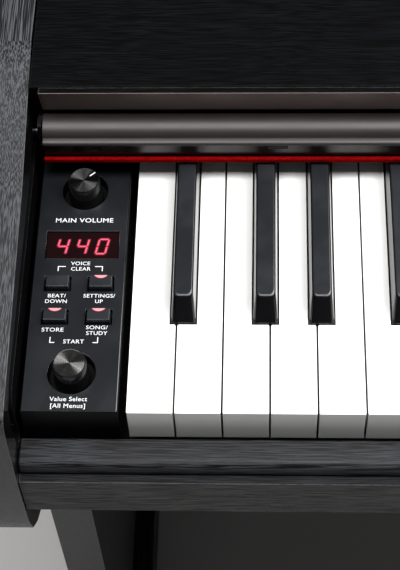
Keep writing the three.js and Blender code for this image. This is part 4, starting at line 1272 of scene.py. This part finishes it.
# %% Small parts
SMALL_PARTS = {
    "rest_hinge": 0.15, "rear_jack_panel": 0.5, "headphone_box": 1.2, "display_module": 0.3,
    "control_board": 0.15, "main_board": 0.2, "keyboard_chassis": 0.5, "left_speaker": 0.6,
    "right_speaker": 0.6, "left_speaker_grille": 0.4, "right_speaker_grille": 0.4,
    "pedal_axle": 0.5, "box_leveller": 0.8, "soft_pedal": 1.8, "sostenuto_pedal": 1.8,
    "damper_pedal": 1.8,
}
for node, width in SMALL_PARTS.items():
    soften_node(node, width * MM, 4 if node.endswith("_pedal") else 2)
print("small parts:", len(SMALL_PARTS))

# %% [markdown]
# A socket has a turned steel ring round its hole. The ring is a profile spun about the hole's
# axis, with an outer bevel, and the flats of its nut come from using six steps.

# %% Socket rings
def ring_piece(name, places, axis, inner, outer, height, steps=32):
    """Rings spun about an axis through each place, all in one piece."""
    shape = bmesh.new()
    way = Vector(axis)
    across = way.orthogonal().normalized()
    profile = [
        (inner, 0), (inner, height * 0.8), (inner + 0.25, height), (outer - 0.5, height),
        (outer, height * 0.6), (outer, 0),
    ]
    for place in places:
        outline = [place + across * r * MM + way * h * MM for r, h in profile]
        lathe(shape, outline, place, way, steps, closed=True)
    bmesh.ops.recalc_face_normals(shape, faces=shape.faces)
    return make_piece(name, shape, "cabinet", "steel")


SOCKET_RADIUS = 3.25
box_low, box_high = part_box("headphone_box")
box_middle = (box_low.x + box_high.x) / 2
phone_places = [Vector((box_middle + dx * MM, box_low.y, box_high.z - 13 * MM)) for dx in (-12, 12)]
ring_piece("headphone_rings", phone_places, (0, -1, 0), SOCKET_RADIUS, 5.2, 1.4)
plate_low, plate_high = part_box("rear_jack_panel")
plate_level = (plate_low.z + plate_high.z) / 2
FIRST_SOCKET = 27.7
SOCKET_PITCH = 30
socket_places = [
    Vector((plate_low.x + (FIRST_SOCKET + SOCKET_PITCH * i) * MM, plate_high.y, plate_level))
    for i in range(3)
]
ring_piece("rear_socket_rings", socket_places, (0, 1, 0), SOCKET_RADIUS, 5.4, 1.3)
ring_piece("rear_socket_nuts", socket_places, (0, 1, 0), 5.5, 7.2, 0.9, steps=6)
print("socket rings:", len(phone_places) + len(socket_places))

# %% [markdown]
# The back and the stand are held by rows of screws. Each head is a low dome with a cross cut in
# it. One head is modelled and then copied to every place, so they are all alike. The heads in
# the back are sunk, because nothing may stand out behind it.

# %% Screw heads
SCREW_RADIUS = 3.6


def screw_heads(name, places, axis, slot="black_metal"):
    """Domed heads with a cross recess, all facing along an axis."""
    head = bmesh.new()
    profile = [
        (SCREW_RADIUS, 0), (SCREW_RADIUS, 0.3), (SCREW_RADIUS * 0.75, 0.9), (1.2, 1.15),
        (0.9, 0.4), (0, 0.4),
    ]
    lathe(head, [(r * MM, 0, h * MM) for r, h in profile], (0, 0, 0), (0, 0, 1), 16)
    for turn in (0, math.pi / 2):
        new = cube(head, (3.6 * MM, 0.5 * MM, 0.12 * MM))
        bmesh.ops.rotate(head, cent=(0, 0, 0), matrix=Matrix.Rotation(turn, 3, "Z"), verts=new)
        bmesh.ops.translate(head, vec=(0, 0, 0.98 * MM), verts=new)
    facing = Vector((0, 0, 1)).rotation_difference(Vector(axis)).to_matrix()
    bmesh.ops.rotate(head, cent=(0, 0, 0), matrix=facing, verts=head.verts)
    bmesh.ops.recalc_face_normals(head, faces=head.faces)
    mesh = bpy.data.meshes.new("one head")
    head.to_mesh(mesh)
    head.free()
    shape = bmesh.new()
    for place in places:
        moved = mesh.copy()
        moved.transform(Matrix.Translation(place))
        shape.from_mesh(moved)
        bpy.data.meshes.remove(moved)
    return make_piece(name, shape, "cabinet", slot)


def corners_of(low, high, inset):
    """Four places on the rear face of a box, each inset from two of its edges."""
    return [
        Vector((x, high.y, z))
        for x in (low.x + inset, high.x - inset) for z in (low.z + inset, high.z - inset)
    ]


rear_low, rear_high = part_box("rear_panel")
REAR_SCREWS = 7
REAR_INSET = 9 * MM
SUNK = 0.9 * MM
screw_pitch = (rear_high.x - rear_low.x) / REAR_SCREWS
rear_places = [
    Vector((rear_low.x + screw_pitch * (step + 0.5), rear_high.y - SUNK, z))
    for step in range(REAR_SCREWS) for z in (rear_low.z + REAR_INSET, rear_high.z - REAR_INSET)
]
plate_corners = corners_of(plate_low, plate_high, 4 * MM)
stand_corners = corners_of(*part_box("stand_rail"), 25 * MM)
screw_heads("rear_panel_screws", rear_places, (0, 1, 0))
screw_heads("socket_plate_screws", plate_corners, (0, 1, 0), "steel")
screw_heads("stand_screws", stand_corners, (0, 1, 0), "steel")
print("screws:", len(rear_places) + len(plate_corners) + len(stand_corners))
